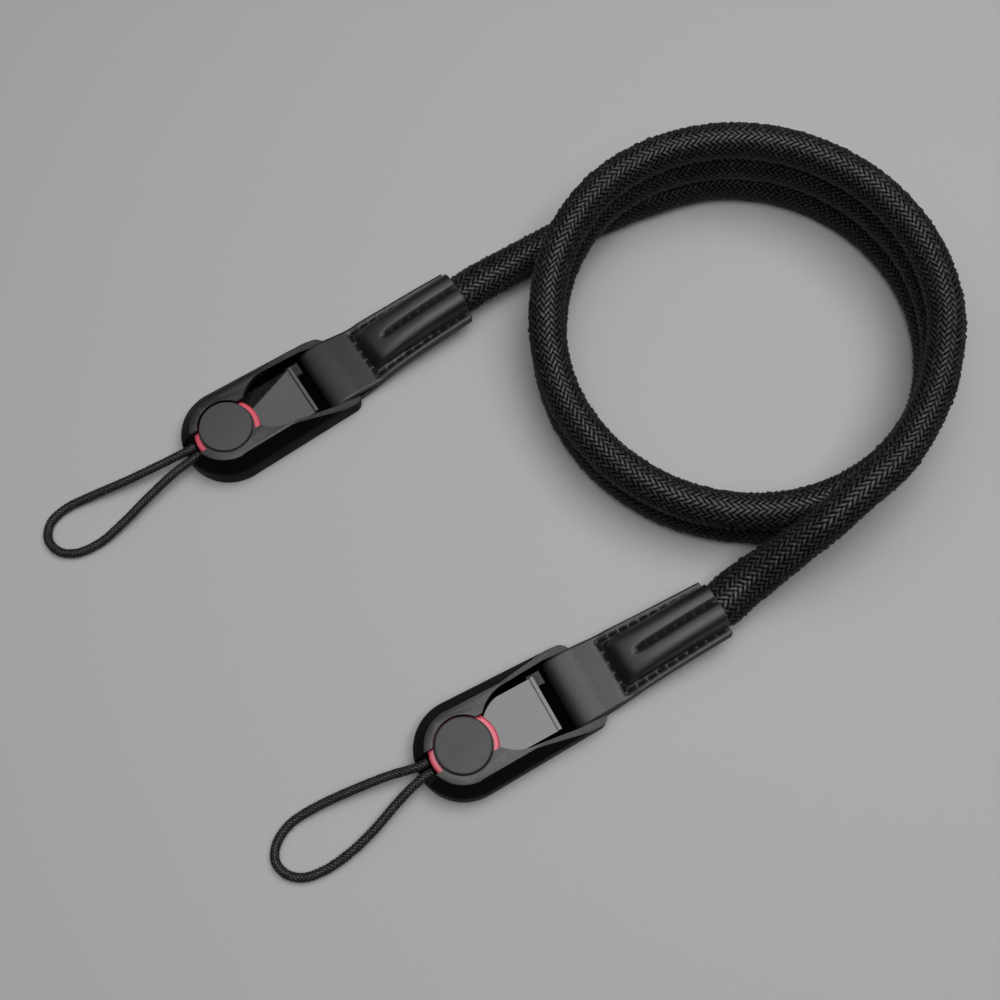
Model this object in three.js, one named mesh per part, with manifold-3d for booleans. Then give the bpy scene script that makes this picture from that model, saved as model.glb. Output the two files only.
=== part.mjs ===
// Coiled rope camera strap with a leather tab, a quick-release clip and a cord loop at each end.
// Millimetres, +Z up. It lies on the plane z = 0, with the origin under the middle of its bounding box.
import * as THREE from "three";
import { mergeVertices } from "three/addons/utils/BufferGeometryUtils.js";
import Module from "manifold-3d";

const wasm = await Module();
wasm.setup();

// Clearance that neighbouring pieces keep, and how far a cutting solid runs past what it cuts.
const GAP = 0.3;
const PAST = 1;

// Rope and its coil. Angles are in degrees from +X, counter-clockwise seen from above.
const ROPE = { diameter: 10.2, sides: 12, steps: 80 };
// slip is how far each turn lies to the right of the one above it.
const COIL = { x: 66.95, y: 45.6, radius: 55.8, pointsPerTurn: 16, turnGap: 0.4, slip: 1 };
const TOP_LEVEL = 2;
const LEVEL = ROPE.diameter + COIL.turnGap;
const COIL_START = -22;
const COIL_END = 2 * 360 + 118;
const DROP = { start: 136, end: 214 };

// Where each clip lies: its anchor axis on the floor and the direction of its tail.
const ENDS = {
  a: { x: -79.05, y: 17.6, yaw: 33.3 },
  b: { x: -10.95, y: -72.6, yaw: 28.9 },
};

// Clip, in its own frame: the anchor axis is z, the leather lies towards +X.
const CLIP = { height: 10, noseRadius: 13.4, sideFlat: 6, chamfer: 2.7, edge: 0.45, floor: 2, lip: 7.9 };
const EAR = { x: 34.8, y: 9.4, radius: 3, tip: 0.2 };
// The top falls away towards the ears: where the fall starts and how far it drops in each millimetre.
const FALL = { x: 16.5, slope: 0.27 };
const ARC_PARTS = { nose: 18, ear: 4, disc: 40 };
const WINDOW = { bend: 17.1, half: 9.2, radius: 11.5, throat: 5.1 };
const BAY = { x: 29, half: 10.3 };
const BAR = { x: 33, z: 3.2, length: 3.2, height: 2.6, corner: 1.2 };
const NOSE_SLOT = 3.2;
const ANCHOR = { hole: 8.05, cap: 7.5, disc: 9.5, well: 9.9, discBottom: 5.2, edge: 0.5, crown: 0.3 };
const TONGUE = { half: 8, end: 24.4, top: 4.9, thick: 1.2, lip: 0.8, lipLength: 1.7 };
const KNUCKLE = { end: 27.5, inner: 5.2, outer: 8.9, top: 4.5 };

// Leather tab, in the clip's frame.
const LEATHER = 1.4;
const TAB = { front: 29.7, slitEnd: 44, cross: 45.2, mouth: 77.4, ropeEnd: 64, lift: 0.1 };
const SEWN = { grooveDepth: 0.9, grooveHalf: 1.2, ridgeHeight: 0.3, ridgeAt: 3, ridgeHalf: 1.6 };
const ROPE_REST = TAB.lift + LEATHER + GAP + ROPE.diameter / 2;

// Cord loop: the points of each loop in its clip's frame.
const CORD = { diameter: 2.6, sides: 8, steps: 52 };
const LOOPS = {
  a: [
    [-9.9, 1.5, 5.0], [-13.6, 1.6, 5.0], [-21, 2.3, 4.6], [-32, 3.8, 3.5], [-42, 5.7, 2.3], [-50, 6.6, 1.6],
    [-55.4, 5.0, 1.4], [-58.1, 1.0, 1.4], [-57.2, -3.6, 1.4], [-53.2, -6.8, 1.4], [-46, -7.8, 1.7],
    [-37.5, -6.4, 2.7], [-28.5, -4.2, 3.8], [-20, -2.4, 4.7], [-13.6, -1.6, 5.0], [-9.9, -1.5, 5.0],
  ],
  b: [
    [-9.9, 1.5, 5.0], [-13.6, 1.7, 5.0], [-20.5, 3.3, 4.4], [-31.6, 4.9, 3.2], [-42.4, 5.7, 2.1],
    [-49.4, 5.0, 1.5], [-54.2, 2.2, 1.4], [-56.3, -1.6, 1.4], [-55.2, -5.8, 1.4], [-51.4, -8.8, 1.4],
    [-46, -9.7, 1.5], [-38.7, -9.1, 2.1], [-30.3, -7.0, 3.0], [-21.5, -3.8, 4.1], [-13.6, -1.7, 5.0],
    [-9.9, -1.5, 5.0],
  ],
};

// Rope between the coil and the two tabs, apart from the straight stretch inside each tab.
const LEAD_B = [
  [63.9, -29.5, 8.2], [68.4, -26.4, 10.4], [72.6, -23.8, 13.2], [79, -19.8, 17.6], [85.6, -15.6, 22.2],
  [94.2, -8.4, 25.3], [106, 2.1, 26.3], [115.5, 17.3, 26.3],
];
const LEAD_A = [
  [27.75, 87.9, 5.1], [19.95, 83.6, 5.15], [10.95, 77.8, 5.4], [0.95, 71.2, 5.9], [-8.25, 65, 6.5],
];

const MATERIALS = {
  rope: { color: 0x1b1b1d, roughness: 0.9, metalness: 0 },
  leather: { color: 0x2c2c2f, roughness: 0.5, metalness: 0 },
  clip: { color: 0x2e2e31, roughness: 0.45, metalness: 0 },
  tongue: { color: 0x47474a, roughness: 0.2, metalness: 0 },
  anchor: { color: 0xd0243a, roughness: 0.35, metalness: 0 },
  cap: { color: 0x343438, roughness: 0.45, metalness: 0 },
  cord: { color: 0x1f1f21, roughness: 0.9, metalness: 0 },
};

const radians = THREE.MathUtils.degToRad;
const smooth = THREE.MathUtils.smoothstep;

function solid(geometry) {
  const plain = geometry.clone();
  plain.deleteAttribute("normal");
  plain.deleteAttribute("uv");
  const merged = mergeVertices(plain, 1e-4);
  const vertProperties = Float32Array.from(merged.attributes.position.array);
  const triVerts = Uint32Array.from(merged.index.array);
  return new wasm.Manifold(new wasm.Mesh({ numProp: 3, vertProperties, triVerts }));
}

function geometryOf(manifold) {
  const mesh = manifold.getMesh();
  const geometry = new THREE.BufferGeometry();
  geometry.setAttribute("position", new THREE.BufferAttribute(mesh.vertProperties, 3));
  geometry.setIndex(new THREE.BufferAttribute(mesh.triVerts, 1));
  geometry.computeVertexNormals();
  return geometry;
}

// A closed skin through rings of equally many points, each ring counter-clockwise seen from the last one.
function loft(rings) {
  const count = rings[0].length;
  const positions = rings.flat().flatMap((p) => [p.x, p.y, p.z]);
  const index = [];
  for (let row = 0; row + 1 < rings.length; row += 1) {
    for (let k = 0; k < count; k += 1) {
      const a = row * count + k;
      const b = row * count + ((k + 1) % count);
      index.push(a, b, b + count, a, b + count, a + count);
    }
  }
  for (const [row, flip] of [[0, true], [rings.length - 1, false]]) {
    const middle = new THREE.Vector3();
    rings[row].forEach((p) => middle.addScaledVector(p, 1 / count));
    const centre = positions.length / 3;
    positions.push(middle.x, middle.y, middle.z);
    for (let k = 0; k < count; k += 1) {
      const a = row * count + k;
      const b = row * count + ((k + 1) % count);
      index.push(...(flip ? [centre, b, a] : [centre, a, b]));
    }
  }
  const geometry = new THREE.BufferGeometry();
  geometry.setAttribute("position", new THREE.Float32BufferAttribute(positions, 3));
  geometry.setIndex(index);
  geometry.computeVertexNormals();
  return geometry;
}

function box(x0, x1, half, z0, z1) {
  const geometry = new THREE.BoxGeometry(x1 - x0, 2 * half, z1 - z0);
  return geometry.translate((x0 + x1) / 2, 0, (z0 + z1) / 2);
}

function disc(radius, z0, z1) {
  const geometry = new THREE.CylinderGeometry(radius, radius, z1 - z0, ARC_PARTS.disc);
  return geometry.rotateX(Math.PI / 2).translate(0, 0, (z0 + z1) / 2);
}

function prism(shape, z0, z1, curveSegments = 8) {
  const geometry = new THREE.ExtrudeGeometry(shape, { depth: z1 - z0, bevelEnabled: false, curveSegments });
  return geometry.translate(0, 0, z0);
}

function tube(curve, diameter, sides, steps) {
  const section = new THREE.Shape();
  for (let k = 0; k < sides; k += 1) {
    const angle = (2 * Math.PI * k) / sides;
    const place = [(Math.cos(angle) * diameter) / 2, (Math.sin(angle) * diameter) / 2];
    if (k === 0) section.moveTo(...place);
    else section.lineTo(...place);
  }
  section.closePath();
  return new THREE.ExtrudeGeometry(section, { steps, extrudePath: curve, bevelEnabled: false });
}

function curveThrough(points) {
  return new THREE.CatmullRomCurve3(points.map((p) => new THREE.Vector3(...p)), false, "centripetal");
}

// A point of a clip's own frame, in the strap's frame.
function fromClip(end, x, y, z) {
  const { x: left, y: front, yaw } = ENDS[end];
  const turn = radians(yaw);
  return [left + x * Math.cos(turn) - y * Math.sin(turn), front + x * Math.sin(turn) + y * Math.cos(turn), z];
}

// Level of the coil at an angle: it starts on the third level and drops one level in each turn.
function coilLevel(angle) {
  let level = TOP_LEVEL;
  for (const turn of [0, 360]) level -= smooth(angle, DROP.start + turn, DROP.end + turn);
  return level;
}

function ropeRoute() {
  const inTab = (end) => [TAB.ropeEnd, (TAB.ropeEnd + TAB.mouth) / 2, TAB.mouth].map((x) =>
    fromClip(end, x, 0, ROPE_REST));
  const turns = [];
  const count = Math.round(((COIL_END - COIL_START) / 360) * COIL.pointsPerTurn);
  for (let k = 0; k <= count; k += 1) {
    const angle = COIL_START + ((COIL_END - COIL_START) * k) / count;
    const level = coilLevel(angle);
    const x = COIL.x + COIL.slip * (TOP_LEVEL - level) + COIL.radius * Math.cos(radians(angle));
    const y = COIL.y + COIL.radius * Math.sin(radians(angle));
    turns.push([x, y, ROPE.diameter / 2 + level * LEVEL]);
  }
  return [...inTab("b"), ...LEAD_B, ...turns, ...LEAD_A, ...inTab("a").reverse()];
}

// Plan outline of the clip: a round nose, straight sides and two rounded ears, drawn inwards by inset.
function clipOutline(inset, z) {
  const ring = [];
  const arc = (x, y, radius, from, to, parts) => {
    for (let k = 0; k <= parts; k += 1) {
      const angle = radians(from + ((to - from) * k) / parts);
      ring.push(new THREE.Vector3(x + radius * Math.cos(angle), y + radius * Math.sin(angle), z));
    }
  };
  const earRadius = Math.max(EAR.radius - inset, EAR.tip);
  arc(0, 0, CLIP.noseRadius - inset, 90, 270, ARC_PARTS.nose);
  arc(EAR.x, -EAR.y, earRadius, -90, 0, ARC_PARTS.ear);
  arc(EAR.x, EAR.y, earRadius, 0, 90, ARC_PARTS.ear);
  return ring;
}

// The window over the tongue: straight sides that bend in to the throat.
function windowShape() {
  const { bend, half, radius, throat } = WINDOW;
  const turn = Math.asin((throat - half + radius) / radius);
  const shape = new THREE.Shape();
  shape.moveTo(BAY.x + PAST, half);
  shape.absarc(bend, half - radius, radius, Math.PI / 2, Math.PI - turn);
  shape.absarc(bend, radius - half, radius, Math.PI + turn, 1.5 * Math.PI);
  shape.lineTo(BAY.x + PAST, -half);
  shape.closePath();
  return shape;
}

// What is cut off above the falling top, seen from the side.
function fallShape() {
  const end = EAR.x + 2 * EAR.radius;
  const shape = new THREE.Shape();
  shape.moveTo(FALL.x, CLIP.height);
  shape.lineTo(end, CLIP.height - FALL.slope * (end - FALL.x));
  shape.lineTo(end, CLIP.height + PAST);
  shape.lineTo(FALL.x, CLIP.height + PAST);
  shape.closePath();
  return shape;
}

function barShape() {
  const { length, height, corner } = BAR;
  const shape = new THREE.Shape();
  const [a, b] = [length / 2 - corner, height / 2 - corner];
  shape.absarc(a, b, corner, 0, Math.PI / 2);
  shape.absarc(-a, b, corner, Math.PI / 2, Math.PI);
  shape.absarc(-a, -b, corner, Math.PI, 1.5 * Math.PI);
  shape.absarc(a, -b, corner, 1.5 * Math.PI, 2 * Math.PI);
  shape.closePath();
  return shape;
}

function clipBody() {
  const { height, sideFlat, chamfer, edge, floor, lip, noseRadius } = CLIP;
  const above = height + PAST;
  const inLip = lip - PAST;
  const body = loft([
    clipOutline(edge, 0),
    clipOutline(0, edge),
    clipOutline(0, sideFlat),
    clipOutline(chamfer, height - edge),
    clipOutline(chamfer + edge, height),
  ]);
  const cuts = [
    disc(ANCHOR.well, floor, lip),
    disc(ANCHOR.hole, inLip, above),
    box(0, BAY.x + PAST, WINDOW.half, floor, lip),
    box(0, WINDOW.bend, WINDOW.throat, inLip, above),
    prism(windowShape(), inLip, above),
    box(-noseRadius - PAST, 0, NOSE_SLOT, floor, above),
    box(BAY.x, EAR.x + 2 * EAR.radius, BAY.half, -PAST, above),
    prism(fallShape(), -noseRadius - PAST, noseRadius + PAST).rotateX(Math.PI / 2),
  ];
  const hollow = cuts.reduce((rest, cut) => rest.subtract(solid(cut)), solid(body));
  const bar = prism(barShape(), -BAY.half - PAST, BAY.half + PAST, ARC_PARTS.ear);
  bar.rotateX(Math.PI / 2).translate(BAR.x, 0, BAR.z);
  return geometryOf(hollow.add(solid(bar)));
}

function clipTongue() {
  const { half, end, top, thick, lip, lipLength } = TONGUE;
  const plate = new THREE.Shape();
  plate.moveTo(end, half);
  plate.absarc(0, 0, half, Math.PI / 2, 1.5 * Math.PI);
  plate.lineTo(end, -half);
  plate.closePath();
  const under = top - thick / 2;
  const pieces = [
    box(end - lipLength, end, half, under, top + lip),
    box(end - 2 * lipLength, end, half, CLIP.floor + GAP, under),
    box(end - lipLength, KNUCKLE.end, (KNUCKLE.outer - KNUCKLE.inner) / 2, CLIP.floor + GAP, KNUCKLE.top)
      .translate(0, (KNUCKLE.outer + KNUCKLE.inner) / 2, 0),
  ];
  const sheet = solid(prism(plate, top - thick, top, ARC_PARTS.nose));
  return geometryOf(pieces.reduce((sum, added) => sum.add(solid(added)), sheet));
}

function anchorDisc() {
  const top = CLIP.lip - GAP;
  const { disc: radius, discBottom, edge } = ANCHOR;
  const profile = [
    [0, discBottom],
    [radius - edge, discBottom],
    [radius, discBottom + edge],
    [radius, top - edge],
    [radius - edge, top],
    [0, top],
  ];
  return lathe(profile);
}

function anchorCap() {
  const bottom = CLIP.lip;
  const rim = CLIP.height - ANCHOR.crown;
  const profile = [
    [0, bottom],
    [ANCHOR.cap, bottom],
    [ANCHOR.cap, rim],
    [ANCHOR.cap - ANCHOR.crown, rim + ANCHOR.crown],
    [0, CLIP.height + ANCHOR.crown],
  ];
  return lathe(profile);
}

function lathe(profile) {
  const points = profile.map(([radius, z]) => new THREE.Vector2(radius, z));
  return new THREE.LatheGeometry(points, ARC_PARTS.disc).rotateX(Math.PI / 2);
}

// Rows along the tab: mid is the height of its middle layer, layers its half thickness there, bulge how far
// the rope inside swells it, from 0 to 1.
const TAB_ROWS = [
  { x: TAB.front, half: 9.8, mid: BAR.z, layers: 0.9, bulge: 0 },
  { x: TAB.front + 0.4, half: 10, mid: BAR.z, layers: 1.8, bulge: 0 },
  { x: TAB.front + 1.3, half: 10, mid: BAR.z, layers: 2.6, bulge: 0 },
  { x: TAB.front + 2.7, half: 10, mid: BAR.z, layers: 3, bulge: 0 },
  { x: BAR.x + 2, half: 10, mid: BAR.z, layers: 3, bulge: 0 },
  { x: 40, half: 9.9, mid: BAR.z, layers: 2.3, bulge: 0 },
  { x: TAB.cross, half: 9.7, mid: 3.4, layers: 1.55, bulge: 0 },
  { x: 49, half: 9.5, mid: 4.2, layers: 1.5, bulge: 0.4 },
  { x: 54, half: 9.2, mid: 5.6, layers: 1.5, bulge: 0.75 },
  { x: 60, half: 8.9, mid: ROPE_REST, layers: 1.5, bulge: 0.97 },
  { x: 68, half: 8.7, mid: ROPE_REST, layers: 1.5, bulge: 1 },
  { x: TAB.mouth, half: 8.5, mid: ROPE_REST, layers: 1.5, bulge: 1 },
];
const TAB_COLUMNS = 20;

// Section of the tab: flat flanges and a round swelling, with a sewn groove along the top's middle.
function tabSection({ x, half, mid, layers, bulge }) {
  const swell = ROPE.diameter / 2 + GAP + LEATHER;
  const side = (y, sewn) => {
    const round = Math.sqrt(Math.max(swell * swell - y * y, 0));
    const furrow = Math.exp(-((y / SEWN.grooveHalf) ** 2));
    const ridge = Math.exp(-(((Math.abs(y) - SEWN.ridgeAt) / SEWN.ridgeHalf) ** 2));
    const height = layers + bulge * Math.max(round - layers, 0);
    return height + sewn * bulge * (SEWN.ridgeHeight * ridge - SEWN.grooveDepth * furrow);
  };
  const place = (k) => half * Math.sin((Math.PI / 2) * ((2 * k) / TAB_COLUMNS - 1));
  const ring = [];
  for (let k = 0; k <= TAB_COLUMNS; k += 1) {
    ring.push(new THREE.Vector3(x, place(k), mid - side(place(k), 0)));
  }
  for (let k = TAB_COLUMNS; k >= 0; k -= 1) {
    ring.push(new THREE.Vector3(x, place(k), mid + side(place(k), 1)));
  }
  return ring;
}

// The slit that the bar lies in, seen from the side: as high as the bar, then closing to the cross seam.
function slitShape() {
  const high = BAR.height / 2 + GAP;
  const front = BAR.x - BAR.length / 2 - GAP;
  const round = BAR.corner + GAP;
  const shape = new THREE.Shape();
  shape.moveTo(TAB.slitEnd, GAP / 2);
  shape.lineTo(BAR.x + BAR.length / 2, high);
  shape.lineTo(front + round, high);
  shape.absarc(front + round, high - round, round, Math.PI / 2, Math.PI);
  shape.absarc(front + round, round - high, round, Math.PI, 1.5 * Math.PI);
  shape.lineTo(BAR.x + BAR.length / 2, -high);
  shape.lineTo(TAB.slitEnd, -GAP / 2);
  shape.closePath();
  return shape;
}

function leatherTab() {
  const slit = prism(slitShape(), -BAY.half, BAY.half, ARC_PARTS.ear);
  slit.rotateX(Math.PI / 2).translate(0, 0, BAR.z);
  const throat = new THREE.LineCurve3(
    new THREE.Vector3(TAB.ropeEnd - GAP, 0, ROPE_REST),
    new THREE.Vector3(TAB.mouth + PAST, 0, ROPE_REST),
  );
  const hollow = tube(throat, ROPE.diameter + 3 * GAP, 16, 1);
  const outside = loft(TAB_ROWS.map(tabSection));
  return geometryOf(solid(outside).subtract(solid(slit)).subtract(solid(hollow)));
}

function piece(name, geometry, material) {
  const mesh = new THREE.Mesh(geometry, new THREE.MeshStandardMaterial(MATERIALS[material]));
  mesh.name = name;
  return mesh;
}

function strapEnd(end) {
  const group = new THREE.Group();
  const loop = tube(curveThrough(LOOPS[end]), CORD.diameter, CORD.sides, CORD.steps);
  group.add(
    piece(`clip_body_${end}`, clipBody(), "clip"),
    piece(`clip_tongue_${end}`, clipTongue(), "tongue"),
    piece(`anchor_disc_${end}`, anchorDisc(), "anchor"),
    piece(`anchor_cap_${end}`, anchorCap(), "cap"),
    piece(`cord_loop_${end}`, loop, "cord"),
    piece(`leather_tab_${end}`, leatherTab(), "leather"),
  );
  group.position.set(ENDS[end].x, ENDS[end].y, 0);
  group.rotation.z = radians(ENDS[end].yaw);
  return group;
}

const strap = new THREE.Group();
strap.add(piece("rope", tube(curveThrough(ropeRoute()), ROPE.diameter, ROPE.sides, ROPE.steps), "rope"));
for (const end of Object.keys(ENDS)) strap.add(strapEnd(end));

export default strap;
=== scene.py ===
"""Looks of a coiled rope camera strap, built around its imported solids.

A braided rope lies in a coil. At each of its ends a folded and sewn leather tab holds a moulded clip, and
the clip holds a capped red anchor on a thin braided cord loop. Sizes are in millimetres until a mesh is made,
in metres.
"""
import logging
import math
from collections.abc import Sequence
from dataclasses import dataclass, field
from enum import Enum

import bmesh
import bpy
import numpy as np
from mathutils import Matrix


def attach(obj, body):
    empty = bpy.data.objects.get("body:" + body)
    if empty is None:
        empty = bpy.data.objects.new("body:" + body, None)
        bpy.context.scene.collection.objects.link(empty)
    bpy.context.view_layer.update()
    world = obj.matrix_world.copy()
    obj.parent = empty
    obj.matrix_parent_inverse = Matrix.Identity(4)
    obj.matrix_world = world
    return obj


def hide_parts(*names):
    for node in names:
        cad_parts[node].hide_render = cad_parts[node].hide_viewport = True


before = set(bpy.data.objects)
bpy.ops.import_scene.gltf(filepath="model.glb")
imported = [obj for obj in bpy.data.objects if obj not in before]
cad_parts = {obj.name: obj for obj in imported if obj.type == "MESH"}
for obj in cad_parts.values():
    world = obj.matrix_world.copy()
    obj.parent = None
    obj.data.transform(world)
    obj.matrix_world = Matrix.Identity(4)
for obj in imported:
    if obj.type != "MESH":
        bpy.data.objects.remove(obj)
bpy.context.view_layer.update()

LOG = logging.getLogger("rope_strap")
MM = 0.001
TINY = 1e-6
BODY = "root"

Array = np.ndarray
Pair = tuple[float, float]
Point = tuple[float, float, float]
Colour = tuple[float, float, float]
Piece = bpy.types.Object
Material = bpy.types.Material
Socket = bpy.types.NodeSocket


def smooth_rise(value: Array, start: float, end: float) -> Array:
    """A smooth step that leaves 0 at its start and reaches 1 at its end."""
    share = np.clip((np.asarray(value, float) - start) / (end - start), 0, 1)
    return share * share * (3 - 2 * share)


def hump(distance: Array, reach: float) -> Array:
    """A round hump, 1 at distance 0 and faded out past its reach."""
    return np.exp(-((np.asarray(distance, float) / reach) ** 2))


def circle(angle: Array) -> Array:
    """Points on a circle of radius 1, at angles in radians."""
    return np.stack([np.cos(angle), np.sin(angle)], axis=1)


def at_height(plan: Array, z: float) -> Array:
    """The points of a plan outline at one height."""
    return np.column_stack([plan, np.full(len(plan), z)])


def eased(at: Array, xs: Array, ys: Array) -> Array:
    """A smooth curve through a few points, with no overshoot.

    Args:
        at: Where to take the curve.
        xs: The points' places, rising.
        ys: The points' values.

    Returns:
        The curve's values.
    """
    at, xs, ys = (np.asarray(values, float) for values in (at, xs, ys))
    steps = np.diff(xs)
    slopes = np.diff(ys) / steps
    lean = np.zeros(len(xs))
    for k in range(1, len(xs) - 1):
        if slopes[k - 1] * slopes[k] > 0:
            lean[k] = 2 * slopes[k - 1] * slopes[k] / (slopes[k - 1] + slopes[k])
    lean[0], lean[-1] = slopes[0], slopes[-1]
    cell = np.clip(np.searchsorted(xs, at) - 1, 0, len(steps) - 1)
    width = steps[cell]
    u = np.clip((at - xs[cell]) / width, 0, 1)
    start = ys[cell] * (1 + 2 * u) * (1 - u) ** 2 + lean[cell] * width * u * (1 - u) ** 2
    return start + ys[cell + 1] * (3 - 2 * u) * u**2 - lean[cell + 1] * width * u**2 * (1 - u)


def mesh_object(name: str, points: Array, faces: Sequence[Sequence[int]]) -> Piece:
    """A smooth-shaded mesh object in the scene.

    Args:
        name: The object's name.
        points: Its points, in millimetres.
        faces: The point numbers of each face.

    Returns:
        The new object.
    """
    mesh = bpy.data.meshes.new(name)
    mesh.from_pydata((np.asarray(points) * MM).tolist(), [], faces)
    mesh.shade_smooth()
    mesh.update()
    thing = bpy.data.objects.new(name, mesh)
    bpy.context.scene.collection.objects.link(thing)
    return thing


def point_values(piece: Piece, name: str, values: Array) -> None:
    """Keeps one number for each point of a piece, for its material to read."""
    layer = piece.data.attributes.new(name, "FLOAT", "POINT")
    layer.data.foreach_set("value", np.asarray(values, np.float32).ravel())


def settle(piece: Piece, slot: str, *nodes: str) -> None:
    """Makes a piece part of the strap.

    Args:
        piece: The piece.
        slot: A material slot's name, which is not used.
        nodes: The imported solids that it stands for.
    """
    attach(piece, BODY)
    if nodes:
        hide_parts(*nodes)
    LOG.info("%s: %d faces", piece.name, len(piece.data.polygons))


class NodeTable:
    """Adds nodes to one node tree and joins them."""

    def __init__(self, tree: bpy.types.NodeTree) -> None:
        """Takes the tree to work on."""
        self.tree = tree

    def feed(self, socket: Socket, value: object) -> None:
        """Joins an output to an input, or gives the input a value.

        Args:
            socket: The input.
            value: The value, or the output that is joined to it.
        """
        if isinstance(value, Socket):
            self.tree.links.new(value, socket)
        else:
            socket.default_value = value

    def add(self, kind: str, inputs: dict | None = None, **settings: object) -> bpy.types.Node:
        """Adds a node.

        Args:
            kind: Blender's name of the node type.
            inputs: Each input's value, or the output that is joined to it.
            settings: The node's own properties.

        Returns:
            The new node.
        """
        node = self.tree.nodes.new(kind)
        for name, value in settings.items():
            setattr(node, name, value)
        for name, value in (inputs or {}).items():
            self.feed(node.inputs[name], value)
        return node

    def mix(self, share: Socket, low: object, high: object) -> Socket:
        """Mixes two colours by a mask.

        Args:
            share: The mask.
            low: A colour, or the output that gives one, where the mask is 0.
            high: The same where the mask is 1.

        Returns:
            The mixed colour's output.
        """
        node = self.tree.nodes.new("ShaderNodeMix")
        node.data_type = "RGBA"
        sockets = {socket.identifier: socket for socket in node.inputs}
        self.tree.links.new(share, sockets["Factor_Float"])
        for key, value in (("A_Color", low), ("B_Color", high)):
            self.feed(sockets[key], value if isinstance(value, Socket) else (*value, 1))
        return next(socket for socket in node.outputs if socket.identifier == "Result_Color")

    def spread(self, value: Socket, source: Pair, target: Pair = (0, 1)) -> Socket:
        """The output of a value that is mapped from one range to another and clamped."""
        ends = {"From Min": source[0], "From Max": source[1], "To Min": target[0], "To Max": target[1]}
        return self.add("ShaderNodeMapRange", {"Value": value, **ends}).outputs["Result"]

    def math(self, operation: str, first: object, second: object) -> Socket:
        """The output of a sum, product or other two-value operation.

        Args:
            operation: Blender's name of the operation.
            first: A value, or the output that gives one.
            second: The same for the other value.

        Returns:
            The result's output.
        """
        node = self.add("ShaderNodeMath", operation=operation)
        for socket, value in zip(node.inputs, (first, second)):
            self.feed(socket, value)
        return node.outputs["Value"]

    def attribute(self, name: str) -> Socket:
        """The output that reads a piece's point values."""
        return self.add("ShaderNodeAttribute", attribute_name=name).outputs["Fac"]

    def noise(self, place: Socket, scale: object, detail: float = 2) -> Socket:
        """The output of a cloudy pattern from 0 to 1, with finer layers added."""
        node = self.add("ShaderNodeTexNoise", {"Vector": place, "Scale": scale, "Detail": detail})
        return node.outputs["Fac"]


class Effect(Enum):
    """The shader node groups that several finishes share."""

    FIBRES = "fibre_streaks"
    GRAIN = "moulded_grain"
    WEAR_AND_HIGHLIGHT = "edge_wear"


@dataclass(frozen=True)
class EffectGroups:
    """Builds each shared node group once."""

    streak_detail: float = 3
    streak_span: Pair = (0.35, 0.65)
    tooth_detail: float = 3
    patch_scale: float = 0.04
    patch_span: Pair = (0.3, 0.7)
    rim_span: Pair = (0.51, 0.60)
    rim_break: float = 900
    break_span: Pair = (0.3, 0.6)
    break_least: float = 0.25

    def new_group(self, effect: Effect, inputs: Sequence[str], outputs: Sequence[str]) -> NodeTable:
        """A new, empty group with its sockets. One named Vector takes a place, any other a number.

        Args:
            effect: The effect to build.
            inputs: The inputs' names.
            outputs: The outputs' names.

        Returns:
            The group's node table.
        """
        tree = bpy.data.node_groups.new(effect.value, "ShaderNodeTree")
        for side, names in (("INPUT", inputs), ("OUTPUT", outputs)):
            for name in names:
                kind = "NodeSocketVector" if name == "Vector" else "NodeSocketFloat"
                tree.interface.new_socket(name=name, in_out=side, socket_type=kind)
        return NodeTable(tree)

    def fibre_streaks(self) -> None:
        """Fine streaks along a thread."""
        table = self.new_group(Effect.FIBRES, ("Vector", "Along", "Across"), ("Height", "Mask"))
        given = table.add("NodeGroupInput").outputs
        stretch = table.add("ShaderNodeCombineXYZ", {"X": given["Along"], "Y": given["Across"], "Z": 1.0})
        place = table.add("ShaderNodeVectorMath", operation="MULTIPLY")
        table.tree.links.new(given["Vector"], place.inputs[0])
        table.tree.links.new(stretch.outputs["Vector"], place.inputs[1])
        streak = table.noise(place.outputs["Vector"], 1.0, self.streak_detail)
        table.add("NodeGroupOutput", {"Height": streak, "Mask": table.spread(streak, self.streak_span)})

    def moulded_grain(self) -> None:
        """The fine tooth of a moulded surface and the soft patches that handling leaves on it."""
        table = self.new_group(Effect.GRAIN, ("Vector", "Scale"), ("Height", "Patches"))
        given = table.add("NodeGroupInput").outputs
        tooth = table.noise(given["Vector"], given["Scale"], self.tooth_detail)
        wide = table.noise(given["Vector"], table.math("MULTIPLY", given["Scale"], self.patch_scale))
        patches = table.spread(wide, self.patch_span)
        table.add("NodeGroupOutput", {"Height": tooth, "Patches": patches})

    def edge_wear(self) -> None:
        """A broken line along outer edges, for wear and a painted highlight."""
        table = self.new_group(Effect.WEAR_AND_HIGHLIGHT, ("Vector", "Amount"), ("Mask",))
        given = table.add("NodeGroupInput").outputs
        sharp = table.add("ShaderNodeNewGeometry").outputs["Pointiness"]
        rim = table.spread(sharp, self.rim_span)
        clouds = table.noise(given["Vector"], self.rim_break)
        broken = table.spread(clouds, self.break_span, (self.break_least, 1))
        worn = table.math("MULTIPLY", rim, broken)
        table.add("NodeGroupOutput", {"Mask": table.math("MULTIPLY", worn, given["Amount"])})

    def build(self) -> None:
        """Builds all the groups."""
        self.fibre_streaks()
        self.moulded_grain()
        self.edge_wear()


def place_effect(table: NodeTable, effect: Effect, inputs: dict) -> bpy.types.bpy_prop_collection:
    """The outputs of a shared group that is placed in a material and fed with values or outputs."""
    return table.add("ShaderNodeGroup", inputs, node_tree=bpy.data.node_groups[effect.value]).outputs


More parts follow.
